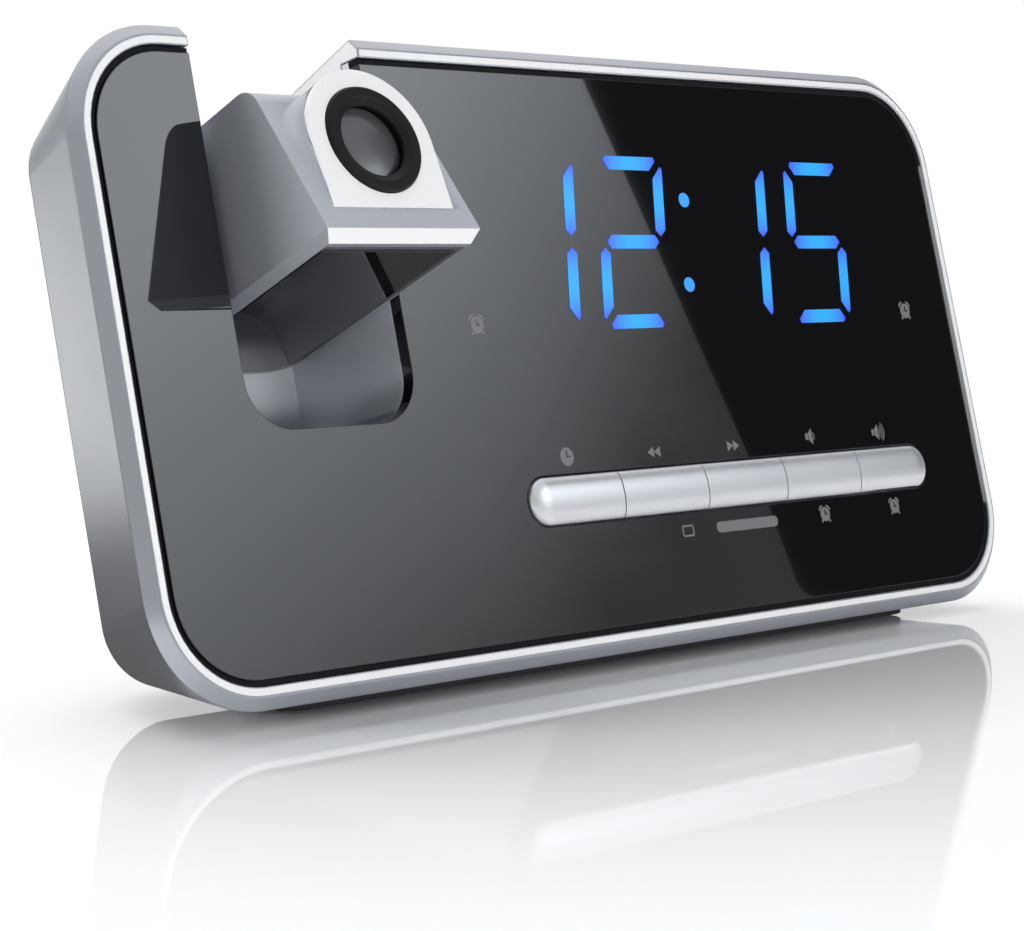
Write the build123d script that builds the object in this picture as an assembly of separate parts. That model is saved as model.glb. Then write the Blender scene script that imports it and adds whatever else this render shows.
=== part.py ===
"""Projection alarm clock: a leaning slab-shaped clock whose projector tilts in a pocket beside the display.

The clock is drawn upright in a face frame: X across the face from its middle, S up the face from the
lower edge of the panel opening, and depth N going back from the face. Every piece is then leaned back
and set on the floor, with the origin under the middle of the whole clock.
"""
from build123d import *
from math import cos, radians, sin, tan
import os

# ---- driving dimensions, millimetres and degrees -------------------------------------------------
LEAN = 14.45                    # how far the face leans back
FACE_LIFT = 6.15                # height of the panel opening's lower edge above the floor
FRONT_Y = -25.86                # Y of that same edge, which puts the origin under the middle

FACE_W, FACE_H, FACE_R = 195.8, 96.0, 14.4      # panel opening in the bezel
RIM = 1.6                       # flat silver strip round the opening
BEVEL_OUT, BEVEL_DEPTH = 1.91, 1.67             # bevel outside the strip
SIDE_DEPTH = 26.9               # depth of the silver side walls
SIDE_DRAFT, TOP_DRAFT = 21.9, 15.0              # how the walls draw in towards the back
BACK_DEPTH = 38.0               # depth of the whole housing
BACK_DRAFT = 38.0               # how the rear cover draws in
BACK_CORNER_R = 10.0
WALL = 2.0

PANEL_RECESS, PANEL_T, PANEL_GAP = 0.3, 2.4, 0.95
FRAME_RECESS, FRAME_T = 0.75, 1.5               # black frame that shows as the line round the panel

NOTCH_X, NOTCH_W = -61.24, 33.37                # opening for the projector
NOTCH_S, NOTCH_R = 37.3, 8.0                    # its lower edge and lower corner radius
POCKET_DEPTH, POCKET_WALL = 28.9, 1.6

PIVOT_S, PIVOT_N = 66.6, 12.4                   # tilt axis of the projector, along X
TILT = 79.0                     # tilt of the projector at rest, forward of its closed position
MODULE_W = 30.0
MODULE_TOP = FACE_H + RIM + BEVEL_OUT           # flush with the housing's upper edge when closed
MODULE_END = 48.1               # lower end of its front when closed
MODULE_BACK = 28.0              # depth of its back when closed
MODULE_WALL = 1.6
MODULE_CORNER_R, MODULE_BACK_R = 6.0, 4.0
MODULE_BEVEL = 1.0              # width of the bevel at the sides and the lower end of its front
FRONT_RIM, FRONT_GAP = 1.25, 0.7                # in from the sides: the front's opening, then its plate
MODULE_RIM = 0.95                               # silver strip between its top bevel and that opening
PLATE_T, PLATE_RECESS = 1.4, 0.15
PLATE_TOP = 94.7
TRIM_H, TRIM_GAP, TRIM_RECESS, TRIM_BACK = 1.1, 0.35, 0.1, 0.65
FLARE_W, FLARE_STEPS, FLARE_START, FLARE_SINK = 3.1, 7, 0.2, 1.03       # start and end as parts of the slope
LENS_N = 16.5                   # lens axis behind the projector's front
LENS_PLATE_R, LENS_PLATE_FRONT = 11.7, 5.4
LENS_PLATE_S, LENS_PLATE_T = 98.65, 1.2
RING_R, RING_TOP, RING_BORE, RING_DEPTH = 8.7, 99.25, 5.85, 5.0
RING_EDGE, RING_CHAMFER, RING_CHAMFER_T, RING_LIP = 0.5, 1.35, 0.7, 1.2
LENS_R, LENS_TOP, BARREL_R, BARREL_LENGTH = 6.5, 97.5, 7.6, 12.0
BOSS_LOW = 86.0                 # the lens boss runs down inside the shell to here
BARREL_END, TAIL_T = 76.0, 3.0  # where the barrel round the pivot runs out; thickness of the tail
LAMP_LOW, LAMP_HIGH, LAMP_BASE, LAMP_W, LAMP_FRONT = 67.0, 80.0, 1.5, 17.0, 8.0

BAR_X, BAR_S, BAR_W, BAR_H = 28.1, 22.7, 104.8, 7.9
KEYS = ("clock", "rewind", "forward", "volume_down", "volume_up")
KEY_GAP, KEY_PROUD, KEY_CROWN, KEY_TRAVEL = 0.25, 0.85, 0.6, 0.8
SLOT_CLEARANCE = 0.3

DIGIT_H, DIGIT_W, DIGIT_S, DIGIT_SLANT = 30.4, 16.6, 50.9, 9.9
DIGIT_LEFT, DIGIT_PITCH, PAIR_OFFSET = -21.8, 22.35, 49.9
STROKE, BAR_TIP, POINT, BAR_GAP = 2.4, 1.75, 1.1, 1.0
COLON, COLON_R = ((26.54, 73.7), (23.86, 58.4)), 1.3
LIT_T = 0.1                     # the lit segments stand this far out of the panel's face
DIGITS = (("hour_tens", "bc"), ("hour_units", "abged"), ("minute_tens", "bc"), ("minute_units", "afgcd"))

PIN_R, PIN_CLEARANCE, BUSH_R, BUSH_FLANGE_R = 2.5, 0.05, 4.0, 5.5

SPEAKER_X, SPEAKER_S, SPEAKER_R = 50.0, 50.0, 18.0
GRILLE_R, SLOT_PITCH, SLOT_W = 15.0, 3.2, 1.4
JACK_X, JACK_S, JACK_R, JACK_BORE_R, JACK_PIN_R = 4.0, 24.0, 4.1, 2.75, 1.0
BATTERY_X, BATTERY_S = -52.0, 25.4              # middle of the backup battery's compartment
BATTERY_W, BATTERY_H, BATTERY_FRONT = 49.0, 18.0, 9.0
BATTERY_WALL, CONTACT_ROOM = 0.9, 2.5
DOOR_T, DOOR_LAP, DOOR_GAP = 1.4, 1.5, 0.2
RIDGES, RIDGE_PITCH = 5, 1.6               # thumb grip cut into the door
SCREWS = ((-33.5, 42.0), (76.9, 34.0), (-33.5, 76.0), (76.9, 76.0))
SCREW_R, SCREW_HEAD_R, SCREW_BOSS_R, SCREW_SINK, SCREW_CLEARANCE = 1.4, 2.8, 4.2, 2.2, 0.15
POST_R, THREAD_GAP = 3.6, 0.05

STAND_FRONT, STAND_BACK, STAND_W, STAND_R = 5.0, 47.0, 156.0, 6.0       # Y from the panel's lower edge
STAND_LIFT, STAND_TOP, STAND_TAPER = 0.6, 11.0, 5.0
PADS = ((-60.0, 13.0), (60.0, 13.0), (-30.0, 37.0), (30.0, 37.0))       # X, and Y as above
PAD_R, PAD_T = 6.0, 1.4

DISPLAY_X, DISPLAY_S, DISPLAY_W, DISPLAY_H, DISPLAY_T = 32.1, 66.1, 81.5, 36.0, 8.0
BOARD_X, BOARD_S, BOARD_W, BOARD_H, BOARD_T = 33.0, 48.0, 118.0, 80.0, 1.6
MAIN_X, MAIN_S, MAIN_W, MAIN_H, MAIN_FRONT = 3.0, 48.0, 54.0, 70.0, 18.5

# ---- worked-out sizes ------------------------------------------------------------------------------
FACE_MID = FACE_H / 2
CASE_W, CASE_H = FACE_W + 2 * (RIM + BEVEL_OUT), FACE_H + 2 * (RIM + BEVEL_OUT)
CASE_R = FACE_R + RIM + BEVEL_OUT
SIDE_RUN = SIDE_DEPTH - BEVEL_DEPTH
REAR_W = CASE_W - 2 * SIDE_RUN * tan(radians(SIDE_DRAFT))
REAR_H = CASE_H - 2 * SIDE_RUN * tan(radians(TOP_DRAFT))
BACK_INSET = (BACK_DEPTH - SIDE_DEPTH) * tan(radians(BACK_DRAFT))
BACK_W, BACK_H = REAR_W - 2 * BACK_INSET, REAR_H - 2 * BACK_INSET
PANEL_BACK = PANEL_RECESS + PANEL_T
FRAME_BACK = PANEL_BACK + FRAME_T
NOTCH_TOP = CASE_H
FRONT_TOP = MODULE_TOP - BEVEL_OUT - MODULE_RIM
KEY_PITCH = BAR_W / len(KEYS)

FACE = Location(Plane(origin=(0, FRONT_Y, FACE_LIFT), x_dir=(1, 0, 0),
                      z_dir=(0, -cos(radians(LEAN)), sin(radians(LEAN)))))
PIVOT = Axis((NOTCH_X, PIVOT_S, -PIVOT_N), (1, 0, 0))


# ---- shapes in the face frame ------------------------------------------------------------------------
def block(x, s, n, width, height, depth):
    """A box centred on x and s whose front is at depth n."""
    return Pos(x, s, -n - depth / 2) * Box(width, height, depth)


def prism(sketch, front, back):
    """A face-frame sketch given thickness from one depth to another."""
    return Pos(0, 0, -back) * extrude(sketch, back - front, dir=(0, 0, 1))


def rounded(width, height, radius, depth, middle=FACE_MID, x=0.0):
    """A rounded rectangle in the plane at one depth, for lofts."""
    return Pos(x, middle, -depth) * RectangleRounded(width, height, radius)


def disc(x, s, radius, front, back):
    return Pos(x, s, -(front + back) / 2) * Cylinder(radius, back - front)


def along_x(x0, x1, s, n, radius):
    return Pos((x0 + x1) / 2, s, -n) * Rot(0, 90, 0) * Cylinder(radius, x1 - x0)


def notch_outline(grow=0.0, lower=0.0):
    """The projector opening: straight sides, round lower corners, open at the top."""
    width = NOTCH_W + 2 * grow
    bottom = NOTCH_S - grow - lower
    radius = NOTCH_R + grow
    height = NOTCH_TOP - bottom + NOTCH_R
    return Pos(NOTCH_X, bottom + height / 2) * RectangleRounded(width, height, radius)


def case_outside():
    """Outer form of the whole housing: bevel, drafted walls, and the rear cover's slope."""
    bevel = loft([rounded(FACE_W + 2 * RIM, FACE_H + 2 * RIM, FACE_R + RIM, 0),
                  rounded(CASE_W, CASE_H, CASE_R, BEVEL_DEPTH)], ruled=True)
    walls = loft([rounded(CASE_W, CASE_H, CASE_R, BEVEL_DEPTH),
                  rounded(REAR_W, REAR_H, BACK_CORNER_R, SIDE_DEPTH)], ruled=True)
    return bevel + walls


def cover_outside():
    slope = loft([rounded(REAR_W, REAR_H, BACK_CORNER_R, SIDE_DEPTH),
                  rounded(BACK_W, BACK_H, BACK_CORNER_R, BACK_DEPTH)], ruled=True)
    return fillet(slope.edges().filter_by_position(Axis.Z, -BACK_DEPTH - 0.01, -BACK_DEPTH + 0.01), 4)


def case_inside():
    ledge = FRAME_BACK + 0.1
    front = prism(rounded(FACE_W, FACE_H, FACE_R, 0), 0, ledge)
    rest = loft([rounded(FACE_W - 3, FACE_H - 3, FACE_R - 1.5, ledge),
                 rounded(REAR_W - 2 * WALL, REAR_H - 2 * WALL, BACK_CORNER_R - WALL, SIDE_DEPTH)], ruled=True)
    return front + rest


def cover_inside():
    return loft([rounded(REAR_W - 2 * WALL, REAR_H - 2 * WALL, BACK_CORNER_R - WALL, SIDE_DEPTH),
                 rounded(BACK_W - 3, BACK_H - 3, BACK_CORNER_R - WALL, BACK_DEPTH - WALL)], ruled=True)


# ---- housing ----------------------------------------------------------------------------------------
def make_front_casing():
    shell = case_outside() - case_inside()
    return shell - prism(notch_outline(), -1, SIDE_DEPTH + 1)


def rear_grille():
    """Speaker slots: a field of upright slots cut to a round outline."""
    slots = []
    for i in range(-4, 5):
        offset = i * SLOT_PITCH
        length = 2 * (GRILLE_R ** 2 - offset ** 2) ** 0.5
        slots.append(Pos(SPEAKER_X + offset, SPEAKER_S) * SlotOverall(length, SLOT_W, rotation=90))
    return prism(Sketch() + slots, BACK_DEPTH - 2 * WALL, BACK_DEPTH + 1)


def make_rear_cover():
    shell = cover_outside() - cover_inside()
    for x, s in SCREWS:
        shell += disc(x, s, SCREW_BOSS_R, SIDE_DEPTH + 2, BACK_DEPTH - WALL)
    shell -= prism(notch_outline(POCKET_WALL), SIDE_DEPTH - 1, POCKET_DEPTH + POCKET_WALL)
    for x, s in SCREWS:
        shell -= disc(x, s, SCREW_HEAD_R + 2 * SCREW_CLEARANCE, BACK_DEPTH - SCREW_SINK, BACK_DEPTH + 1)
        shell -= disc(x, s, SCREW_R + SCREW_CLEARANCE, SIDE_DEPTH, BACK_DEPTH)
    shell -= rear_grille()
    shell -= disc(JACK_X, JACK_S, JACK_R + 0.1, BACK_DEPTH - 2 * WALL, BACK_DEPTH + 1)
    lap = 2 * DOOR_LAP
    shell -= block(BATTERY_X, BATTERY_S, BACK_DEPTH - DOOR_T, BATTERY_W + lap, BATTERY_H + lap, DOOR_T + 1)
    shell -= block(BATTERY_X, BATTERY_S, BACK_DEPTH - 2 * WALL, BATTERY_W, BATTERY_H, 3 * WALL)
    return shell


def make_projector_pocket():
    """Tray behind the notch: two cheeks, a floor and a back wall, open at the front and the top."""
    outer = prism(notch_outline(POCKET_WALL), PANEL_BACK, POCKET_DEPTH + POCKET_WALL)
    tray = outer - prism(notch_outline(), PANEL_BACK - 1, POCKET_DEPTH)
    tray -= along_x(NOTCH_X - NOTCH_W, NOTCH_X + NOTCH_W, PIVOT_S, PIVOT_N, BUSH_R)
    return tray & (case_inside() + cover_outside())


def stand_outline(taper=0.0):
    """Plan of the stand: straight front, half an ellipse behind it."""
    half, depth = STAND_W / 2 - taper, STAND_BACK - STAND_FRONT - taper
    oval = Pos(0, STAND_FRONT) * Ellipse(half, depth)
    plan = oval & Pos(0, STAND_FRONT + depth / 2) * Rectangle(2 * half, depth)
    front = plan.vertices().group_by(Axis.Y)[0]
    return Pos(0, FRONT_Y) * fillet(front, STAND_R)


def make_base_stand():
    """Black wedge under the housing, cut to fit its underside."""
    low = Pos(0, 0, STAND_LIFT) * stand_outline()
    high = Pos(0, 0, STAND_TOP) * stand_outline(STAND_TAPER)
    wedge = loft([low, high], ruled=True) - FACE * (case_outside() + cover_outside())
    wedge = max(wedge.solids(), key=lambda solid: solid.volume)
    for pad in pad_places():
        wedge -= pad * Pos(0, 0, PAD_T / 2) * Cylinder(PAD_R, PAD_T)
    return wedge


def pad_places():
    return [Pos(x, FRONT_Y + y, 0) for x, y in PADS]


def make_foot_pads():
    pad = Pos(0, 0, PAD_T / 2) * Cylinder(PAD_R, PAD_T)
    pad = chamfer(pad.faces().sort_by(Axis.Z)[0].edges(), 0.4)
    return Compound([place * pad for place in pad_places()])


def make_case_screws():
    screws = []
    for x, s in SCREWS:
        head = disc(x, s, SCREW_HEAD_R, BACK_DEPTH - SCREW_SINK, BACK_DEPTH - SCREW_SINK + 1.6)
        screws.append(head + disc(x, s, SCREW_R, SIDE_DEPTH - 6, BACK_DEPTH - SCREW_SINK))
    return Compound(screws)


# ---- panel, keys and display ----------------------------------------------------------------------------
def panel_outline():
    return rounded(FACE_W - 2 * PANEL_GAP, FACE_H - 2 * PANEL_GAP, FACE_R - PANEL_GAP, 0)


def make_front_panel():
    panel = prism(panel_outline() - notch_outline(), PANEL_RECESS, PANEL_BACK)
    slot = Pos(BAR_X, BAR_S) * SlotOverall(BAR_W + 2 * SLOT_CLEARANCE, BAR_H + 2 * SLOT_CLEARANCE)
    return panel - prism(slot, 0, PANEL_BACK + 1)


def make_panel_frame():
    """Black frame behind the panel; its lip is the dark line round the panel."""
    outline = rounded(FACE_W - 0.2, FACE_H - 0.2, FACE_R - 0.1, 0) - notch_outline()
    frame = prism(outline, FRAME_RECESS, FRAME_BACK) - prism(panel_outline(), 0, PANEL_BACK)
    frame -= prism(notch_outline(POCKET_WALL + 0.2), PANEL_BACK, FRAME_BACK + 1)
    frame -= block(DISPLAY_X, DISPLAY_S, 0, DISPLAY_W + 1, DISPLAY_H + 1, 2 * FRAME_BACK)
    frame -= block(BAR_X, BAR_S, 0, BAR_W + 3, BAR_H + 5, 2 * FRAME_BACK)
    for x in (-1, 1):
        for s in (-1, 1):
            frame += disc(BOARD_X + x * (BOARD_W / 2 - 5), BOARD_S + s * (BOARD_H / 2 - 4), 3, FRAME_BACK,
                          PANEL_BACK + DISPLAY_T)
    for x, s in SCREWS:
        frame += disc(x, s, POST_R, FRAME_BACK - 0.5, SIDE_DEPTH + 2)
        frame -= disc(x, s, SCREW_R + THREAD_GAP, FRAME_BACK, SIDE_DEPTH + 3)
    return frame


def key_bar():
    """The row of keys as one bar with a crowned front."""
    outline = Pos(BAR_X, BAR_S) * SlotOverall(BAR_W, BAR_H)
    bar = prism(outline, PANEL_RECESS - KEY_PROUD - KEY_CROWN, PANEL_BACK + 0.1)
    crown_r = ((BAR_H / 2) ** 2 + KEY_CROWN ** 2) / (2 * KEY_CROWN)
    front = PANEL_RECESS - KEY_PROUD - KEY_CROWN
    return bar & along_x(BAR_X - BAR_W, BAR_X + BAR_W, BAR_S, front + crown_r, crown_r)


def make_key(index):
    x = BAR_X - BAR_W / 2 + (index + 0.5) * KEY_PITCH
    width = KEY_PITCH - KEY_GAP
    key = key_bar() & block(x, BAR_S, -5, width, BAR_H, 10)
    key += block(x, BAR_S, PANEL_BACK + 0.1, width, BAR_H + 3, 1.2)
    return key + disc(x, BAR_S, 2.0, PANEL_BACK + 1.3, PANEL_BACK + 3.2)


def make_tact_switches():
    switches = []
    for index in range(len(KEYS)):
        x = BAR_X - BAR_W / 2 + (index + 0.5) * KEY_PITCH
        back = PANEL_BACK + DISPLAY_T
        body = block(x, BAR_S, back - 3.4, 6, 6, 3.4)
        switches.append(body + disc(x, BAR_S, 1.6, back - 3.9, back - 3.4))
    return Compound(switches)


def segment_points(name):
    """Corners of one bar of an upright numeral, in a cell DIGIT_W wide and DIGIT_H high."""
    half, middle = STROKE / 2, DIGIT_H / 2
    if name == "g":
        left, right = BAR_TIP, DIGIT_W - BAR_TIP
        return [(left, middle), (left + POINT, middle - half), (right - POINT, middle - half),
                (right, middle), (right - POINT, middle + half), (left + POINT, middle + half)]
    if name in "ad":
        left, right = BAR_TIP, DIGIT_W - BAR_TIP
        low = [(left, 0.75), (left + 0.4, 0), (right - 0.4, 0), (right, 0.75), (right - 1.5, STROKE),
               (left + 1.5, STROKE)]
        return low if name == "d" else [(x, DIGIT_H - y) for x, y in low]
    inner, near = DIGIT_W - STROKE, middle - POINT - BAR_GAP
    low = [(DIGIT_W - half, middle - BAR_GAP), (inner, near), (inner, 3.9), (DIGIT_W - 0.45, 1.7),
           (DIGIT_W, 2.2), (DIGIT_W, near)]
    if name in "bf":
        low = [(x, DIGIT_H - y) for x, y in low]
    return low if name in "bc" else [(DIGIT_W - x, y) for x, y in low]


def make_digit(index):
    """The lit bars of one numeral, leaning to the right, standing a hair out of the panel."""
    lean = tan(radians(DIGIT_SLANT))
    x = DIGIT_LEFT + index // 2 * PAIR_OFFSET + index % 2 * DIGIT_PITCH
    bars = []
    for name in DIGITS[index][1]:
        corners = [(x + px + py * lean, DIGIT_S + py) for px, py in segment_points(name)]
        bars.append(prism(make_face(Polyline(*corners, close=True)), PANEL_RECESS - LIT_T, PANEL_RECESS))
    return Compound(bars)


def make_colon():
    dots = [disc(x, s, COLON_R, PANEL_RECESS - LIT_T, PANEL_RECESS) for x, s in COLON]
    return Compound(dots)


def make_display_board():
    """Board behind the numerals and the keys, with holes for the screw posts."""
    front = PANEL_BACK + DISPLAY_T
    board = block(BOARD_X, BOARD_S, front, BOARD_W, BOARD_H, BOARD_T)
    for x, s in SCREWS:
        board -= disc(x, s, POST_R + 0.5, front - 1, front + BOARD_T + 1)
    return board


def make_main_board():
    """Main board with its clock chip, audio chip and two tall capacitors."""
    board = block(MAIN_X, MAIN_S, MAIN_FRONT, MAIN_W, MAIN_H, BOARD_T)
    back = MAIN_FRONT + BOARD_T
    board += block(MAIN_X - 8, MAIN_S + 8, back, 14, 14, 1.6)
    board += block(MAIN_X + 12, MAIN_S + 14, back, 8, 10, 1.6)
    for s in (MAIN_S - 6, MAIN_S - 17):
        board += disc(MAIN_X + 16, s, 4, back, back + 10)
    return board


def make_board_spacers():
    """Pillars that carry the main board behind the display board."""
    tubes = []
    for x in (-1, 1):
        for s in (-1, 1):
            tubes.append(disc(MAIN_X + x * (MAIN_W / 2 - 4), MAIN_S + s * (MAIN_H / 2 - 4), 2.5,
                              PANEL_BACK + DISPLAY_T + BOARD_T, MAIN_FRONT))
    return Compound(tubes)


def make_speaker():
    """Round speaker: rim, basket cone and magnet."""
    back = BACK_DEPTH - WALL
    basket = loft([Pos(SPEAKER_X, SPEAKER_S, -back + 1.5) * Circle(SPEAKER_R - 2),
                   Pos(SPEAKER_X, SPEAKER_S, -back + 6) * Circle(9)], ruled=True)
    magnet = disc(SPEAKER_X, SPEAKER_S, 10, back - 11, back - 6)
    return disc(SPEAKER_X, SPEAKER_S, SPEAKER_R, back - 1.5, back) + basket + magnet


def make_dc_jack():
    front = MAIN_FRONT + BOARD_T
    body = block(JACK_X, JACK_S, front, 9, 9, BACK_DEPTH - WALL - front)
    body += disc(JACK_X, JACK_S, JACK_R, BACK_DEPTH - 2 * WALL, BACK_DEPTH)
    body -= disc(JACK_X, JACK_S, JACK_BORE_R, BACK_DEPTH - 10, BACK_DEPTH + 1)
    return body + disc(JACK_X, JACK_S, JACK_PIN_R, BACK_DEPTH - 10, BACK_DEPTH - 1)


def make_battery_box():
    """Open-backed tray for the battery that keeps the time through a power cut."""
    back = BACK_DEPTH - WALL
    box = block(BATTERY_X, BATTERY_S, BATTERY_FRONT - BATTERY_WALL, BATTERY_W + 2 * BATTERY_WALL,
                BATTERY_H + 2 * BATTERY_WALL, back - BATTERY_FRONT + BATTERY_WALL)
    return box - block(BATTERY_X, BATTERY_S, BATTERY_FRONT, BATTERY_W, BATTERY_H, back)


def make_backup_battery():
    length, height, depth = BATTERY_W - CONTACT_ROOM, BATTERY_H - 0.5, 26.0
    body = block(BATTERY_X + CONTACT_ROOM / 2, BATTERY_S, BATTERY_FRONT, length, height, depth)
    body = fillet(body.edges().filter_by(Axis.X), 2)
    left = BATTERY_X + CONTACT_ROOM / 2 - length / 2
    for n in (-6.5, 6.5):
        body += along_x(left - 1.5, left, BATTERY_S, BATTERY_FRONT + depth / 2 + n, 3)
    return body


def make_battery_door():
    """Lift-off door with a ridged thumb grip."""
    lap = 2 * DOOR_LAP - 2 * DOOR_GAP
    door = block(BATTERY_X, BATTERY_S, BACK_DEPTH - DOOR_T, BATTERY_W + lap, BATTERY_H + lap, DOOR_T)
    door += block(BATTERY_X, BATTERY_S, BACK_DEPTH - DOOR_T - 1, BATTERY_W - 4, BATTERY_H - 4, 1)
    for i in range(RIDGES):
        x = BATTERY_X + BATTERY_W / 2 - 2 - i * RIDGE_PITCH
        door -= block(x, BATTERY_S, BACK_DEPTH - 0.5, RIDGE_PITCH / 2, BATTERY_H / 2, 1)
    return door


# ---- projector, drawn closed and then tilted about its pivot ----------------------------------------------
def tilted(solid):
    return solid.rotate(PIVOT, TILT)


def top_slope(n):
    """Height of the projector's sloping top at one depth."""
    return MODULE_TOP - (n - BEVEL_DEPTH) * tan(radians(TOP_DRAFT))


def module_solid(front_edge, inset=0.0):
    """Solid between the projector's sides: front edge as given, flat back, barrel round the pivot, tail."""
    back = MODULE_BACK - inset
    radius = back - PIVOT_N
    turns = (radians(BARREL_END / 2), radians(BARREL_END))
    middle, end = [(PIVOT_S - radius * sin(turn), -PIVOT_N - radius * cos(turn)) for turn in turns]
    top_back = (top_slope(back) - inset, -back)
    outline = (Polyline(*front_edge, top_back, (PIVOT_S, -back))
               + ThreePointArc((PIVOT_S, -back), middle, end) + Line(end, front_edge[0]))
    width = MODULE_W - 2 * inset
    return Pos(NOTCH_X - width / 2, 0, 0) * extrude(Plane.YZ * make_face(outline), width)


def front_outline(inset=0.0, top=3 * FACE_H / 2):
    """Outline of the projector's front at a distance in from its sides, cut off square at the top."""
    bottom = MODULE_END + inset
    tall = Pos(NOTCH_X, bottom + FACE_H) * RectangleRounded(MODULE_W - 2 * inset, 2 * FACE_H,
                                                            MODULE_CORNER_R - inset)
    return tall & Pos(NOTCH_X, top - FACE_H) * Rectangle(MODULE_W, 2 * FACE_H)


def module_block():
    """Outer form: beveled front edge all round, rounded upper back edge."""
    edge = [(MODULE_END, -TAIL_T), (MODULE_END, 0), (MODULE_TOP - BEVEL_OUT, 0), (MODULE_TOP, -BEVEL_DEPTH)]
    outline = loft([front_outline(MODULE_BEVEL), Pos(0, 0, -BEVEL_DEPTH) * front_outline()], ruled=True)
    outline += prism(front_outline(), BEVEL_DEPTH, MODULE_BACK + 1)
    body = module_solid(edge) & outline
    corner = body.edges().filter_by(Axis.X).filter_by_position(Axis.Z, -MODULE_BACK - 0.1, -MODULE_BACK + 0.1)
    return fillet(corner.sort_by(Axis.Y)[-1], MODULE_BACK_R)


def lens_flare():
    """Hollow-sided rise from the sloping top to the lens plate, widest at the foot of its two sides."""
    turn = radians(TOP_DRAFT)
    hinge = BEVEL_DEPTH + (MODULE_TOP - LENS_PLATE_S) / tan(turn)
    sections = []
    for step in range(FLARE_STEPS + 1):
        part = step / FLARE_STEPS
        angle = turn * (FLARE_START + (FLARE_SINK - FLARE_START) * part)
        grow = FLARE_W * (1 - (1 - part ** 2) ** 0.5)
        across = (0, cos(angle), -sin(angle))
        plane = Plane(origin=(NOTCH_X, LENS_PLATE_S, -hinge), x_dir=(1, 0, 0), z_dir=across)
        middle, front = LENS_N - hinge, LENS_PLATE_FRONT - hinge
        oval = Pos(0, middle) * Ellipse(LENS_PLATE_R + grow, LENS_PLATE_R)
        sides = Pos(0, (middle + front) / 2) * Rectangle(2 * (LENS_PLATE_R + grow), middle - front)
        sections.append(plane * (oval + sides))
    return loft(sections, ruled=True)


def module_cavity():
    front = PLATE_RECESS + PLATE_T + MODULE_WALL
    edge = [(MODULE_END + MODULE_WALL, -front), (top_slope(front) - MODULE_WALL, -front)]
    return module_solid(edge, MODULE_WALL)


def lens_plane(s):
    """Plane square to the lens axis at a height up the projector; its Y points to the back."""
    return Plane(origin=(NOTCH_X, s, -LENS_N), x_dir=(1, 0, 0), z_dir=(0, 1, 0))


def round_lens(radius, low, high, x=0.0, y=0.0):
    """A cylinder on the lens axis between two heights."""
    return lens_plane((low + high) / 2).location * Pos(x, y, 0) * Cylinder(radius, high - low)


def lens_outline(grow=0.0):
    front = LENS_N - LENS_PLATE_FRONT + grow
    return Circle(LENS_PLATE_R + grow) + Pos(0, -front / 2) * Rectangle(2 * (LENS_PLATE_R + grow), front)


def make_projector_shell():
    boss = lens_plane(BOSS_LOW).location * extrude(lens_outline(), LENS_PLATE_S - LENS_PLATE_T - BOSS_LOW)
    shell = module_block() + lens_flare() + boss - module_cavity()
    shell += round_lens(BARREL_R + 0.3 + MODULE_WALL, BOSS_LOW, LENS_PLATE_S - LENS_PLATE_T)
    shell -= lens_plane(LENS_PLATE_S - LENS_PLATE_T).location * extrude(lens_outline(), 2 * LENS_PLATE_T)
    shell -= prism(front_outline(FRONT_RIM, FRONT_TOP), -1, PLATE_RECESS + PLATE_T)
    shell -= round_lens(RING_R + 0.3, RING_TOP - RING_DEPTH - 0.3, RING_TOP)
    shell -= round_lens(BARREL_R + 0.3, BOSS_LOW - 6, RING_TOP)
    shell -= along_x(NOTCH_X - MODULE_W, NOTCH_X + MODULE_W, PIVOT_S, PIVOT_N, PIN_R)
    return tilted(shell)


def plate_outline():
    return front_outline(FRONT_RIM + FRONT_GAP, PLATE_TOP)


def make_projector_front():
    return tilted(prism(plate_outline(), PLATE_RECESS, PLATE_RECESS + PLATE_T))


def frame_outline():
    return front_outline(FRONT_RIM + 0.05, FRONT_TOP - 0.05)


def make_projector_frame():
    """Black frame that shows as the line round the projector's front plate."""
    return tilted(prism(frame_outline() - plate_outline(), TRIM_BACK, PLATE_RECESS + PLATE_T))


def make_projector_trim():
    """Silver bar set on the frame along the plate's upper edge."""
    top = FRONT_TOP - TRIM_GAP
    bar = Pos(NOTCH_X, top - TRIM_H / 2) * Rectangle(MODULE_W, TRIM_H)
    return tilted(prism(frame_outline() & bar, TRIM_RECESS, TRIM_BACK))


def make_lens_plate():
    plate = lens_plane(LENS_PLATE_S - LENS_PLATE_T).location * extrude(lens_outline(), LENS_PLATE_T)
    return tilted(plate - round_lens(RING_R + 0.08, 0, 2 * RING_TOP))


def make_focus_ring():
    ring = round_lens(RING_R, RING_TOP - RING_DEPTH, RING_TOP)
    ring -= round_lens(LENS_R, RING_TOP - RING_DEPTH - 1, RING_TOP - RING_LIP)
    ring -= round_lens(RING_BORE, RING_TOP - RING_DEPTH, RING_TOP + 1)
    top = ring.faces().sort_by(Axis.Y)[-1]
    outer, inner = top.edges().sort_by(SortBy.LENGTH, reverse=True)
    ring = fillet(outer, RING_EDGE)
    circles = ring.edges().filter_by(GeomType.CIRCLE)
    mouth = circles.filter_by(lambda edge: abs(edge.radius - RING_BORE) < 0.01).sort_by(Axis.Y)[-1]
    return tilted(chamfer(mouth, RING_CHAMFER, RING_CHAMFER_T, reference=ring.faces().sort_by(Axis.Y)[-1]))


def make_lens_barrel():
    top = RING_TOP - RING_DEPTH
    tube = round_lens(BARREL_R, top - BARREL_LENGTH, top)
    return tilted(tube - round_lens(LENS_R, top - BARREL_LENGTH - 1, top + 1))


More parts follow.
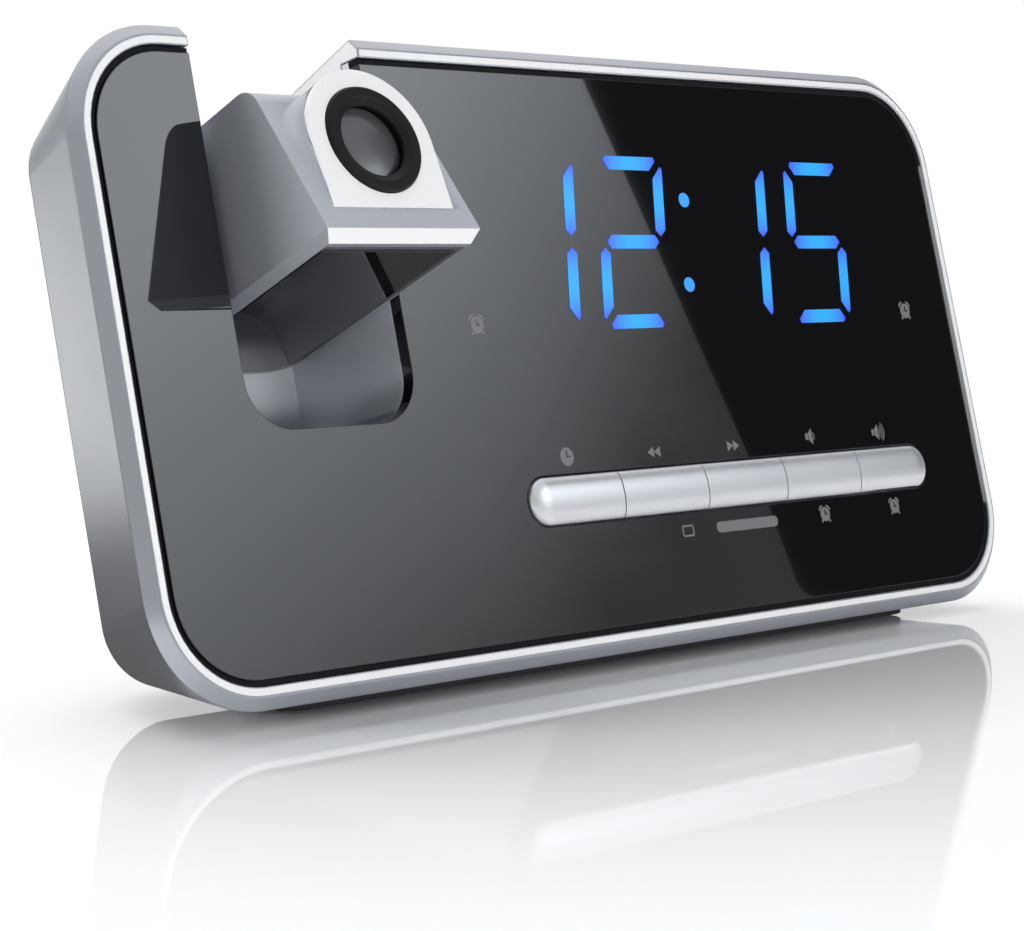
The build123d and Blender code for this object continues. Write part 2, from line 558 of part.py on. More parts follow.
def make_projection_lens():
    """Front lens: flat inside, domed outside."""
    edge, dome = LENS_TOP - 1.0, 1.0
    sphere_r = (LENS_R ** 2 + dome ** 2) / (2 * dome)
    ball = lens_plane(LENS_TOP - sphere_r).location * Sphere(sphere_r)
    return tilted(round_lens(LENS_R, edge - 1.6, LENS_TOP) & ball)


def make_lamp_house():
    """Square tube under the lens that carries the time film and the lamp."""
    depth = MODULE_BACK - MODULE_WALL - LAMP_FRONT
    middle = LAMP_FRONT + depth / 2
    tube = Pos(NOTCH_X, (LAMP_LOW + LAMP_HIGH) / 2, -middle) * Box(LAMP_W, LAMP_HIGH - LAMP_LOW, depth)
    hole = Pos(NOTCH_X, LAMP_LOW + LAMP_BASE + LAMP_HIGH / 2, -middle) * Box(LAMP_W - 3, LAMP_HIGH, depth - 3)
    return tilted(tube - hole)


def make_time_film():
    return tilted(lens_plane(LAMP_HIGH + 0.4).location * Box(11, 11, 0.8))


def make_lamp():
    low = LAMP_LOW + LAMP_BASE
    return tilted(round_lens(4.5, low, low + 1.2) + round_lens(2.5, low + 1.2, low + 4.5))


def make_pivot_pins():
    """Stub axles at both sides, with a head inside the projector."""
    pins = []
    for side in (-1, 1):
        inner, outer = MODULE_W / 2 - MODULE_WALL, NOTCH_W / 2 + POCKET_WALL + 2.0
        ends = sorted((side * inner, side * outer))
        head = sorted((side * (inner - 1.2), side * inner))
        pins.append(along_x(NOTCH_X + ends[0], NOTCH_X + ends[1], PIVOT_S, PIVOT_N, PIN_R)
                    + along_x(NOTCH_X + head[0], NOTCH_X + head[1], PIVOT_S, PIVOT_N, PIN_R + 1.5))
    return Compound(pins)


def bush(side, start, end, outer, inner):
    ends = sorted((side * start, side * end))
    ring = along_x(NOTCH_X + ends[0], NOTCH_X + ends[1], PIVOT_S, PIVOT_N, outer)
    return ring - along_x(NOTCH_X + ends[0] - 1, NOTCH_X + ends[1] + 1, PIVOT_S, PIVOT_N, inner)


def make_pivot_bushes():
    cheek, bore = NOTCH_W / 2, PIN_R + PIN_CLEARANCE
    back = cheek + POCKET_WALL
    rings = []
    for side in (-1, 1):
        flange = bush(side, back, back + 0.8, BUSH_FLANGE_R, bore)
        rings.append(bush(side, cheek, back, BUSH_R, bore) + flange)
    return Compound(rings)


def make_friction_washers():
    cheek = NOTCH_W / 2
    return Compound([bush(side, cheek - 1.3, cheek, BUSH_FLANGE_R, PIN_R + 0.3) for side in (-1, 1)])


# ---- write ----------------------------------------------------------------------------------------
PARTS = {
    "front_casing": make_front_casing,
    "rear_cover": make_rear_cover,
    "projector_pocket": make_projector_pocket,
    "case_screws": make_case_screws,
    "front_panel": make_front_panel,
    "panel_frame": make_panel_frame,
    "tact_switches": make_tact_switches,
    "display_colon": make_colon,
    "display_module": lambda: block(DISPLAY_X, DISPLAY_S, PANEL_BACK, DISPLAY_W, DISPLAY_H, DISPLAY_T),
    "display_board": make_display_board,
    "main_board": make_main_board,
    "board_spacers": make_board_spacers,
    "speaker": make_speaker,
    "dc_jack": make_dc_jack,
    "battery_box": make_battery_box,
    "backup_battery": make_backup_battery,
    "battery_door": make_battery_door,
    "projector_shell": make_projector_shell,
    "projector_front": make_projector_front,
    "projector_frame": make_projector_frame,
    "projector_trim": make_projector_trim,
    "lens_plate": make_lens_plate,
    "focus_ring": make_focus_ring,
    "lens_barrel": make_lens_barrel,
    "projection_lens": make_projection_lens,
    "lamp_house": make_lamp_house,
    "time_film": make_time_film,
    "projector_lamp": make_lamp,
    "pivot_pins": make_pivot_pins,
    "pivot_bushes": make_pivot_bushes,
    "friction_washers": make_friction_washers,
}

os.makedirs("parts", exist_ok=True)
for name, make in PARTS.items():
    export_step(FACE * make(), f"parts/{name}.step")
for index, key in enumerate(KEYS):
    export_step(FACE * make_key(index), f"parts/{key}_key.step")
for index, (place, bars) in enumerate(DIGITS):
    export_step(FACE * make_digit(index), f"parts/digit_{place}.step")
export_step(make_base_stand(), "parts/base_stand.step")
export_step(make_foot_pads(), "parts/foot_pads.step")
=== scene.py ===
"""Dresses the projection alarm clock: soft edges, silver paint, gloss panel, lit numerals, icons and lens."""

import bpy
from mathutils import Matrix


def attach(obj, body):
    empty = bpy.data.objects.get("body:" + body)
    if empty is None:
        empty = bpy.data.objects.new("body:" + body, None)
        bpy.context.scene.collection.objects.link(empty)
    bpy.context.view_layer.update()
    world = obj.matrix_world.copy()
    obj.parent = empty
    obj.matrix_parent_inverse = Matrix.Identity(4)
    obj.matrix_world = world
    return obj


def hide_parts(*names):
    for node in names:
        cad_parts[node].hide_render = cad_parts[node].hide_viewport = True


bl_info = {
    "name": "Projection Alarm Clock",
    "version": (1, 0, 0),
    "blender": (4, 5, 0),
    "location": "3D View > Sidebar > Alarm Clock",
    "description": "Builds the visible pieces and finishes of a projection alarm clock",
    "category": "Add Mesh",
}

from math import cos, pi, radians, sin, sqrt, tan

import bmesh
import bpy
from bpy.props import FloatProperty, FloatVectorProperty
from mathutils import Matrix, Vector

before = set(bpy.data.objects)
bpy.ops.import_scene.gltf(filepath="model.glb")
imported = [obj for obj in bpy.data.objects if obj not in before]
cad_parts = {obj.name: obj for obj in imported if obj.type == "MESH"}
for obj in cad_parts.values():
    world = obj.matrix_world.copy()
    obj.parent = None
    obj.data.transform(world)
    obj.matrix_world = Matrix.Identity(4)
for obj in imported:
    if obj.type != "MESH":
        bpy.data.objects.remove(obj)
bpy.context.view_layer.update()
MM = 0.001
WELD = 2e-6                     # points of a solid's mesh nearer than this become one, in metres
DRAWN_WELD = 1e-4               # the same for what is drawn in the clock's own axes, in millimetres
FLAT_ANGLE = radians(0.4)       # facets that differ by less than this become one

# ---- the clock's own axes: X across the face, S up it and a height outwards from it, in millimetres -------
LEAN = radians(14.45)
FACE_ORIGIN = Vector((0, -0.02586, 0.00615))
FACE = Matrix.Translation(FACE_ORIGIN) @ Matrix((
    (MM, 0, 0, 0),
    (0, sin(LEAN) * MM, -cos(LEAN) * MM, 0),
    (0, cos(LEAN) * MM, sin(LEAN) * MM, 0),
    (0, 0, 0, 1)))
PIVOT = Vector((-61.24, 66.6, -12.4))
TILTED = (FACE @ Matrix.Translation(PIVOT) @ Matrix.Rotation(radians(79), 4, "X")
          @ Matrix.Translation(-PIVOT))
PANEL_FRONT = -0.3              # height of the panel's face
NOTCH_MIDDLE = -0.06            # where the projector's notch has its middle along X, in metres
LENS_AXIS = (-61.24, -16.5)     # X and height of the lens axis in the closed projector


# ---- settings ---------------------------------------------------------------------------------------------
def length(name, description, default):
    return FloatProperty(name=name, description=description, default=default, min=0, unit="LENGTH",
                         precision=5)


def colour(name, description, default):
    return FloatVectorProperty(name=name, description=description, default=default, min=0, max=1, size=3,
                               subtype="COLOR")


class ClockSizes(bpy.types.PropertyGroup):
    """Sizes of the pieces that are drawn here and not in the solids"""
    case_edge: length("Housing edge", "Radius on the housing's sharp edges", 0.00030)
    fine_edge: length("Fine edge", "Radius on small mouldings and trim", 0.00015)
    key_edge: length("Key edge", "Radius on the edges where two keys meet", 0.00003)
    print_height: length("Print height", "Thickness of the printed icons", 0.00003)


class ClockColours(bpy.types.PropertyGroup):
    """Colours of the finishes"""
    silver: colour("Silver", "Satin silver paint of the housing", (0.57, 0.59, 0.63))
    # Lighter copy of the silver for faces that look towards the front lamps: painted light.
    bright: colour("Silver with painted light", "Silver of the front strip and the lens plate", (0.71, 0.705, 0.705))
    black: colour("Black", "Moulded black plastic", (0.012, 0.012, 0.014))
    panel: colour("Panel", "Gloss black of the front panel", (0.004, 0.004, 0.005))
    lit_core: colour("Lit core", "Middle of a lit bar", (0.03, 0.42, 1.0))
    lit_end: colour("Lit end", "Ends of a lit bar", (0.06, 0.10, 0.95))
    icon: colour("Icons", "Grey of the printed icons", (0.13, 0.13, 0.135))
    glow: FloatProperty(name="Glow", description="Strength of the lit bars", default=1.0, min=0)


def sizes():
    return bpy.context.scene.clock_sizes


def colours():
    return bpy.context.scene.clock_colours


# ---- mesh helpers -----------------------------------------------------------------------------------------
def add_object(name, data):
    """Puts a mesh, camera or lamp into the scene."""
    item = bpy.data.objects.new(name, data)
    bpy.context.scene.collection.objects.link(item)
    return item


def finish_mesh(name, bm, material, body, replaced=(), smooth=True, weighted=True):
    """Turns a bmesh into a piece that rides on a body, with one finish and tidy normals."""
    mesh = bpy.data.meshes.new(name)
    for face in bm.faces:
        face.smooth = smooth
    bm.to_mesh(mesh)
    bm.free()
    mesh.materials.append(material)
    piece = add_object(name, mesh)
    if weighted:
        normals = piece.modifiers.new("Even shading", "WEIGHTED_NORMAL")
        normals.keep_sharp = True
    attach(piece, body)
    if replaced:
        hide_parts(*replaced)
    return piece


def welded_copy(node, join_flats=True):
    """A CAD node's mesh as one connected skin, with its flat facets joined if asked."""
    bm = bmesh.new()
    bm.from_mesh(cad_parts[node].data)
    bmesh.ops.remove_doubles(bm, verts=bm.verts, dist=WELD)
    if join_flats:
        bmesh.ops.dissolve_limit(bm, angle_limit=FLAT_ANGLE, use_dissolve_boundaries=False,
                                 verts=bm.verts, edges=bm.edges, delimit=set())
    return bm


def bevel(bm, edges, width, segments=2):
    bmesh.ops.bevel(bm, geom=edges, offset=width, offset_type="OFFSET", segments=segments, profile=0.5,
                    affect="EDGES", clamp_overlap=True, material=-1)


def round_edges(bm, width, segments=2, sharper_than=28, skip=None):
    """Rounds every edge that turns by more than an angle in degrees, apart from those to be skipped."""
    sharp = [edge for edge in bm.edges
             if len(edge.link_faces) == 2 and edge.calc_face_angle(0) > radians(sharper_than)
             and not (skip and skip(edge))]
    bevel(bm, sharp, width, segments)


def soft_copy(node, width, material, body, segments=2, sharper_than=28, join_flats=True, skip=None,
              shape=None):
    """A solid's mesh with its shape corrected if asked and its sharp edges rounded, in the solid's place."""
    bm = welded_copy(node, join_flats)
    if shape:
        shape(bm)
    round_edges(bm, width, segments, sharper_than, skip)
    return finish_mesh(node + "_skin", bm, material, body, replaced=(node,))


def paint_node(node, material):
    """Gives a CAD node that keeps its own mesh a finish."""
    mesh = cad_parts[node].data
    mesh.materials.clear()
    mesh.materials.append(material)


# ---- shader helpers -----------------------------------------------------------------------------------------
NOISE_LOW, NOISE_HIGH = 0.3, 0.7        # most values of a noise texture lie between these
SLOW_SCALE, FLECK_SCALE = 35, 9000      # noise patches per metre: slow drifts in gloss, and paint flecks
RELIEF_DEPTH = 0.0001                   # depth of the grain, in metres


def set_inputs(node, **values):
    """Sets inputs of a shader node; an underscore stands for a space in an input's name."""
    for label, value in values.items():
        node.inputs[label.replace("_", " ")].default_value = value


def new_material(name):
    """A material with the usual nodes; returns it with its nodes and links."""
    material = bpy.data.materials.new(name)
    material.use_nodes = True
    return material, material.node_tree.nodes, material.node_tree.links


def new_group(name, inputs, outputs):
    """A node group with sockets; returns it with its input and output nodes."""
    group = bpy.data.node_groups.new(name, "ShaderNodeTree")
    for label, kind, default in inputs:
        socket = group.interface.new_socket(label, in_out="INPUT", socket_type=kind)
        socket.default_value = default
    for label, kind in outputs:
        group.interface.new_socket(label, in_out="OUTPUT", socket_type=kind)
    return group, group.nodes.new("NodeGroupInput"), group.nodes.new("NodeGroupOutput")


def swinging_noise(group, place, scale, detail):
    """Noise spread out to swing between -1 and 1."""
    noise = group.nodes.new("ShaderNodeTexNoise")
    set_inputs(noise, Scale=scale, Detail=detail)
    spread = group.nodes.new("ShaderNodeMapRange")
    set_inputs(spread, From_Min=NOISE_LOW, From_Max=NOISE_HIGH, To_Min=-1)
    group.links.new(place.outputs["Object"], noise.inputs["Vector"])
    group.links.new(noise.outputs["Fac"], spread.inputs["Value"])
    return spread.outputs["Result"]


def grain_group():
    """Fine moulded or sprayed grain with slow drifts in gloss: a height and a roughness that vary."""
    found = bpy.data.node_groups.get("Surface Grain")
    if found:
        return found
    group, given, result = new_group(
        "Surface Grain",
        [("Grain Scale", "NodeSocketFloat", 900.0), ("Roughness", "NodeSocketFloat", 0.3),
         ("Roughness Drift", "NodeSocketFloat", 0.05)],
        [("Height", "NodeSocketFloat"), ("Roughness", "NodeSocketFloat")])
    nodes, links = group.nodes, group.links
    place = nodes.new("ShaderNodeTexCoord")
    fine = nodes.new("ShaderNodeTexNoise")
    set_inputs(fine, Detail=3)
    drift = nodes.new("ShaderNodeMath")
    drift.operation = "MULTIPLY_ADD"
    links.new(place.outputs["Object"], fine.inputs["Vector"])
    links.new(given.outputs["Grain Scale"], fine.inputs["Scale"])
    links.new(swinging_noise(group, place, SLOW_SCALE, 4), drift.inputs[0])
    links.new(given.outputs["Roughness Drift"], drift.inputs[1])
    links.new(given.outputs["Roughness"], drift.inputs[2])
    links.new(fine.outputs["Fac"], result.inputs["Height"])
    links.new(drift.outputs["Value"], result.inputs["Roughness"])
    return group


def fleck_group():
    """Tiny pale and dark flecks of metallic paint over a base colour."""
    found = bpy.data.node_groups.get("Metallic Fleck")
    if found:
        return found
    group, given, result = new_group(
        "Metallic Fleck",
        [("Colour", "NodeSocketColor", (0.6, 0.6, 0.6, 1)), ("Strength", "NodeSocketFloat", 0.06)],
        [("Colour", "NodeSocketColor")])
    nodes, links = group.nodes, group.links
    place = nodes.new("ShaderNodeTexCoord")
    amount = nodes.new("ShaderNodeMath")
    amount.operation = "MULTIPLY_ADD"
    amount.inputs[2].default_value = 1
    scaled = nodes.new("ShaderNodeVectorMath")
    scaled.operation = "SCALE"
    links.new(swinging_noise(group, place, FLECK_SCALE, 1), amount.inputs[0])
    links.new(given.outputs["Strength"], amount.inputs[1])
    links.new(given.outputs["Colour"], scaled.inputs[0])
    links.new(amount.outputs["Value"], scaled.inputs["Scale"])
    links.new(scaled.outputs["Vector"], result.inputs["Colour"])
    return group


def finish(name, base, roughness, metallic=0.0, grain=900.0, bump=0.02, drift=0.04, fleck=0.0, **sockets):
    """A painted or moulded finish: grain in the height and gloss, optional metallic flecks."""
    found = bpy.data.materials.get(name)
    if found:
        return found
    material, nodes, links = new_material(name)
    shader = nodes["Principled BSDF"]
    set_inputs(shader, Base_Color=(*base, 1), Metallic=metallic, **sockets)
    texture = nodes.new("ShaderNodeGroup")
    texture.node_tree = grain_group()
    set_inputs(texture, Grain_Scale=grain, Roughness=roughness, Roughness_Drift=drift)
    relief = nodes.new("ShaderNodeBump")
    set_inputs(relief, Strength=bump, Distance=RELIEF_DEPTH)
    links.new(texture.outputs["Height"], relief.inputs["Height"])
    links.new(relief.outputs["Normal"], shader.inputs["Normal"])
    links.new(texture.outputs["Roughness"], shader.inputs["Roughness"])
    if fleck:
        paint = nodes.new("ShaderNodeGroup")
        paint.node_tree = fleck_group()
        set_inputs(paint, Colour=(*base, 1), Strength=fleck)
        links.new(paint.outputs["Colour"], shader.inputs["Base Color"])
    return material


def silver_paint():
    return finish("Satin Silver Paint", colours().silver, 0.36, metallic=1.0, grain=4000, bump=0.03,
                  drift=0.02, fleck=0.04)


# A darker, part-diffuse copy of the housing's silver, so that the projector's slopes and sides read darker:
# painted shade.
def projector_silver_with_painted_shade():
    return finish("Projector Silver With Painted Shade", (0.46, 0.48, 0.52), 0.36, metallic=0.6, grain=1100, bump=0.02,
                  drift=0.05, fleck=0.06)


# A lighter, mostly diffuse copy of the silver so that the pocket's inside reads as lit: painted light.
def pocket_silver_with_painted_light():
    return finish("Pocket Silver With Painted Light", (0.64, 0.66, 0.70), 0.40, metallic=0.35, grain=4000, bump=0.03,
                  drift=0.02, fleck=0.03)


def frame_black():
    return finish("Dull Black Trim", (0.004, 0.004, 0.005), 0.5, grain=1200, bump=0.05, drift=0.05,
                  Specular_IOR_Level=0.15)


# A lighter, mostly diffuse copy of the silver paint, given to faces that look towards the front lamps so that
# they read as lit: painted light.
def silver_with_painted_light():
    return finish("Silver With Painted Light", colours().bright, 0.45, metallic=0.15, grain=4000, bump=0.02,
                  drift=0.02, fleck=0.02)


def trim_silver():
    return finish("Trim Silver", (0.16, 0.165, 0.18), 0.4, metallic=0.6, grain=900, bump=0.01, drift=0.03)


def key_plating():
    return finish("Satin Key Plating", (0.83, 0.835, 0.855), 0.35, metallic=0.86, grain=4000, bump=0.02,
                  drift=0.03, fleck=0.02)


def gloss_black():
    return finish("Piano Black Panel", colours().panel, 0.035, grain=60, bump=0.004, drift=0.01,
                  Coat_Weight=1.0, Coat_Roughness=0.01, Coat_IOR=1.45, IOR=1.4)


def moulded_black():
    return finish("Moulded Black Plastic", colours().black, 0.42, grain=1200, bump=0.15, drift=0.06)


def textured_black():
    return finish("Textured Black Plastic", colours().black, 0.55, grain=1700, bump=0.5, drift=0.05)


def ring_black():
    return finish("Ring Black", (0.010, 0.010, 0.011), 0.32, grain=1400, bump=0.06, drift=0.04,
                  Specular_IOR_Level=0.12)


def foot_rubber():
    return finish("Foot Rubber", (0.02, 0.02, 0.02), 0.75, grain=800, bump=0.3, drift=0.06)


def plain_steel():
    return finish("Plain Steel", (0.56, 0.56, 0.57), 0.32, metallic=1.0, grain=1100, bump=0.05, drift=0.08)


def printed_icon():
    return finish("Icon Print", colours().icon, 0.4, grain=2500, bump=0.02, drift=0.05)


def green_board():
    return finish("Circuit Board", (0.02, 0.10, 0.045), 0.42, grain=700, bump=0.08, drift=0.08)


def speaker_black():
    return finish("Speaker Black", (0.02, 0.02, 0.02), 0.8, grain=600, bump=0.4, drift=0.05)


def battery_sleeve():
    return finish("Battery Sleeve", (0.10, 0.10, 0.12), 0.35, metallic=0.6, grain=800, bump=0.03, drift=0.05)


def lens_glass():
    return finish("Coated Lens Glass", (0.05, 0.052, 0.056), 0.24, grain=50, bump=0.0, drift=0.01,
                  IOR=1.9, Coat_Weight=0.12, Coat_Roughness=0.04)


def milky_lamp():
    return finish("Lamp Body", (0.85, 0.84, 0.72), 0.3, grain=300, bump=0.02, drift=0.05)


def dark_film():
    return finish("Time Film", (0.01, 0.012, 0.02), 0.1, grain=300, bump=0.01, drift=0.03)


def lit_segment():
    """Blue light, brightest in the middle of each bar; the mesh stores how far from its ends a point is."""
    found = bpy.data.materials.get("Lit Segment")
    if found:
        return found
    material, nodes, links = new_material("Lit Segment")
    shader = nodes["Principled BSDF"]
    set_inputs(shader, Base_Color=(0.0, 0.01, 0.05, 1), Roughness=0.3, Emission_Strength=colours().glow)
    along = nodes.new("ShaderNodeAttribute")
    along.attribute_name = "glow"
    ramp = nodes.new("ShaderNodeValToRGB")
    ramp.color_ramp.elements[0].color = (*colours().lit_end, 1)
    ramp.color_ramp.elements[1].color = (*colours().lit_core, 1)
    links.new(along.outputs["Fac"], ramp.inputs["Fac"])
    links.new(ramp.outputs["Color"], shader.inputs["Emission Color"])
    return material


# ---- flat shapes on the panel ------------------------------------------------------------------------------
def add_polygon(bm, corners, height):
    """A flat face from X and S corners, at a height outwards from the face."""
    verts = [bm.verts.new((x, s, height)) for x, s in corners]
    return bm.faces.new(verts)


def add_plate(bm, corners, low, high):
    """A thin plate: a face raised from one height to another, closed all round."""
    face = add_polygon(bm, corners, low)
    raised = bmesh.ops.extrude_face_region(bm, geom=[face])
    verts = [item for item in raised["geom"] if isinstance(item, bmesh.types.BMVert)]
    bmesh.ops.translate(bm, verts=verts, vec=(0, 0, high - low))


def add_ring(bm, x, s, outer, inner, low, high, steps=32):
    """A flat ring, or a disc where the inner radius is zero."""
    if not inner:
        add_plate(bm, [(x + outer * cos(2 * pi * i / steps), s + outer * sin(2 * pi * i / steps))
                       for i in range(steps)], low, high)
        return
    section = ((inner, low), (outer, low), (outer, high), (inner, high))
    start = [bm.verts.new((x + r, s, h)) for r, h in section]
    edges = [bm.edges.new((start[i], start[(i + 1) % 4])) for i in range(4)]
    bmesh.ops.spin(bm, geom=start + edges, cent=(x, s, 0), axis=(0, 0, 1), angle=2 * pi, steps=steps,
                   use_merge=True)


def turned_corners(corners, x, s, angle=0.0, scale=1.0):
    """Corners moved from round the origin to a place on the face, turned and scaled on the way."""
    turn = Matrix.Rotation(angle, 2)
    moved = [turn @ Vector(corner) * scale for corner in corners]
    return [(x + point.x, s + point.y) for point in moved]


def bar_corners(x0, x1, width):
    """Corners of a strip along X from the middle of one end to the middle of the other."""
    return [(x0, -width / 2), (x1, -width / 2), (x1, width / 2), (x0, width / 2)]


def face_piece(name, bm, material, body, replaced=(), place=FACE, weighted=True, smooth=True):
    """Takes a bmesh drawn in the clock's own axes to its place and finishes it."""
    bmesh.ops.remove_doubles(bm, verts=bm.verts, dist=DRAWN_WELD)
    bmesh.ops.recalc_face_normals(bm, faces=bm.faces)
    bm.transform(place)
    return finish_mesh(name, bm, material, body, replaced, smooth, weighted)


# ---- numerals ---------------------------------------------------------------------------------------------
DIGIT_W, DIGIT_H, DIGIT_S = 16.6, 30.4, 50.9
DIGIT_LEFT, DIGIT_PITCH, PAIR_OFFSET = -21.8, 22.35, 49.9
STROKE, TIP, SLANT = 2.4, 1.75, tan(radians(9.9))
DIGITS = (("hour_tens", "bc"), ("hour_units", "abged"), ("minute_tens", "bc"), ("minute_units", "afgcd"))
DIGIT_RISE = 0.1                # how far the bars stand out of the panel
BAR_SLICES = 10                 # parts that a bar is cut into along its length
MITRE = 1.1                     # length of the pointed ends of the middle bar
COLON = ((26.54, 73.7), (23.86, 58.4))
COLON_R, COLON_GLOW = 1.3, 0.8


def segment_corners(name):
    """Corners of one bar of an upright numeral in its cell.

    The bars are lettered clockwise from the top one, a, and the middle one is g.
    """
    half, middle = STROKE / 2, DIGIT_H / 2
    if name == "g":
        left, right = TIP, DIGIT_W - TIP
        return [(left, middle), (left + MITRE, middle - half), (right - MITRE, middle - half),
                (right, middle), (right - MITRE, middle + half), (left + MITRE, middle + half)]
    if name in "ad":
        low = [(TIP, 0.75), (TIP + 0.4, 0), (DIGIT_W - TIP - 0.4, 0), (DIGIT_W - TIP, 0.75),
               (DIGIT_W - TIP - 1.5, STROKE), (TIP + 1.5, STROKE)]
        return low if name == "d" else [(x, DIGIT_H - y) for x, y in low]
    right = [(DIGIT_W - half, middle - 1.0), (DIGIT_W - STROKE, middle - 2.1), (DIGIT_W - STROKE, 3.9),
             (DIGIT_W - 0.45, 1.7), (DIGIT_W, 2.2), (DIGIT_W, middle - 2.1)]
    if name in "bf":
        right = [(x, DIGIT_H - y) for x, y in right]
    return right if name in "bc" else [(DIGIT_W - x, y) for x, y in right]


def bar_length(corners):
    """Half length of a bar along its longer side, its middle, and whether it stands upright."""
    xs, ys = [c[0] for c in corners], [c[1] for c in corners]
    spans = (max(xs) - min(xs), max(ys) - min(ys))
    return max(spans) / 2, Vector(((max(xs) + min(xs)) / 2, (max(ys) + min(ys)) / 2)), spans[1] > spans[0]


def add_bar(bm, layer, corners, x):
    """One lit bar, cut across so that its light can fade towards its ends, then slanted into its place."""
    half, middle, upright = bar_length(corners)
    along = Vector((0, 1) if upright else (1, 0))
    before = set(bm.verts)
    add_plate(bm, corners, PANEL_FRONT, PANEL_FRONT + DIGIT_RISE)
    added = [vert for vert in bm.verts if vert not in before]
    for i in range(1, BAR_SLICES):
        at = middle + along * half * (2 * i / BAR_SLICES - 1)
        geometry = [item for vert in added for item in (vert, *vert.link_edges, *vert.link_faces)]
        bmesh.ops.bisect_plane(bm, geom=list(dict.fromkeys(geometry)), plane_co=(*at, 0),
                               plane_no=(*along, 0), dist=1e-5)
        added = [vert for vert in bm.verts if vert not in before]
    for vert in added:
        offset = abs((vert.co.y - middle.y) if upright else (vert.co.x - middle.x))
        vert[layer] = max(0.0, 1 - (offset / half) ** 2)
        vert.co.x += vert.co.y * SLANT + x
        vert.co.y += DIGIT_S


def build_numerals():
    for index, (place, bars) in enumerate(DIGITS):
        x = DIGIT_LEFT + index // 2 * PAIR_OFFSET + index % 2 * DIGIT_PITCH
        bm = bmesh.new()
        layer = bm.verts.layers.float.new("glow")
        for name in bars:
            add_bar(bm, layer, segment_corners(name), x)
        face_piece("numeral_" + place, bm, lit_segment(), "clock", ("digit_" + place,),
                   weighted=False, smooth=False)
    bm = bmesh.new()
    layer = bm.verts.layers.float.new("glow")
    for x, s in COLON:
        add_ring(bm, x, s, COLON_R, 0, PANEL_FRONT, PANEL_FRONT + DIGIT_RISE)
    for vert in bm.verts:
        vert[layer] = COLON_GLOW
    face_piece("numeral_colon", bm, lit_segment(), "clock", ("display_colon",), weighted=False,
               smooth=False)


# ---- icons -------------------------------------------------------------------------------------------------
ALARMS = ((49.0, 15.6, 1.0), (69.4, 15.6, 1.0), (-28.9, 52.3, 1.1), (84.0, 52.6, 1.1))      # X, S, scale


def icon_plate(bm, corners):
    """A printed shape on the panel."""
    add_plate(bm, corners, PANEL_FRONT, PANEL_FRONT + sizes().print_height / MM)


def icon_ring(bm, x, s, outer, inner):
    add_ring(bm, x, s, outer, inner, PANEL_FRONT, PANEL_FRONT + sizes().print_height / MM)


def icon_mark(marks, corners):
    """A dark stroke on top of a printed icon."""
    top = PANEL_FRONT + sizes().print_height / MM
    add_plate(marks, corners, top, top + sizes().print_height / MM)


def clock_icon(bm, marks, x, s):
    icon_ring(bm, x, s, 1.55, 0)
    icon_mark(marks, turned_corners(bar_corners(-0.14, 1.05, 0.28), x, s, radians(90)))
    icon_mark(marks, turned_corners(bar_corners(-0.14, 0.8, 0.28), x, s))


def arrow_icon(bm, x, s, direction):
    for offset in (-0.8, 0.8):
        corners = [(-0.8 * direction, -0.95), (0.8 * direction, 0), (-0.8 * direction, 0.95)]
        icon_plate(bm, turned_corners(corners, x + offset, s))


def volume_icon(bm, x, s, waves):
    icon_plate(bm, turned_corners([(-1.5, -0.6), (-0.75, -0.6), (-0.75, 0.6), (-1.5, 0.6)], x, s))
    icon_plate(bm, turned_corners([(-0.6, -0.65), (0.4, -1.5), (0.4, 1.5), (-0.6, 0.65)], x, s))
    for i in range(waves):
        r = 1.05 + 0.6 * i
        arc = [(r * cos(radians(a)), r * sin(radians(a))) for a in range(-50, 51, 10)]
        inner = [((r - 0.26) * cos(radians(a)), (r - 0.26) * sin(radians(a))) for a in range(50, -51, -10)]
        icon_plate(bm, turned_corners(arc + inner, x, s))


def alarm_icon(bm, marks, x, s, scale):
    """A bell clock: round face with hands, two bells and two feet."""
    icon_ring(bm, x, s, 1.3 * scale, 0)
    icon_mark(marks, turned_corners(bar_corners(-0.12, 0.85, 0.24), x, s, radians(90), scale))
    icon_mark(marks, turned_corners(bar_corners(-0.12, 0.6, 0.24), x, s, 0, scale))
    for side in (-1, 1):
        bell = [(1.45 + 0.42 * sin(radians(a)), 0.72 * cos(radians(a))) for a in range(0, 181, 20)]
        icon_plate(bm, turned_corners(bell, x, s, radians(90 - 43 * side), scale))
        icon_plate(bm, turned_corners(bar_corners(1.25, 1.85, 0.42), x, s, radians(-90 + 40 * side), scale))


def pill_icon(bm, x, s, width, height):
    """A strip with round ends."""
    r = height / 2
    outer = [(x + width / 2 - r + r * cos(radians(a)), s + r * sin(radians(a))) for a in range(-90, 91, 18)]
    outer += [(x - width / 2 + r + r * cos(radians(a)), s + r * sin(radians(a))) for a in range(90, 271, 18)]
    icon_plate(bm, outer)


def screen_icon(bm, x, s, width, height, line):
    """A rectangle drawn with four strokes."""
    for dx, dy, w, h in ((0, height / 2, width, line), (0, -height / 2, width, line),
                         (-width / 2, 0, line, height - line), (width / 2, 0, line, height - line)):
        icon_plate(bm, [(x + dx - w / 2, s + dy - h / 2), (x + dx + w / 2, s + dy - h / 2),
                        (x + dx + w / 2, s + dy + h / 2), (x + dx - w / 2, s + dy + h / 2)])


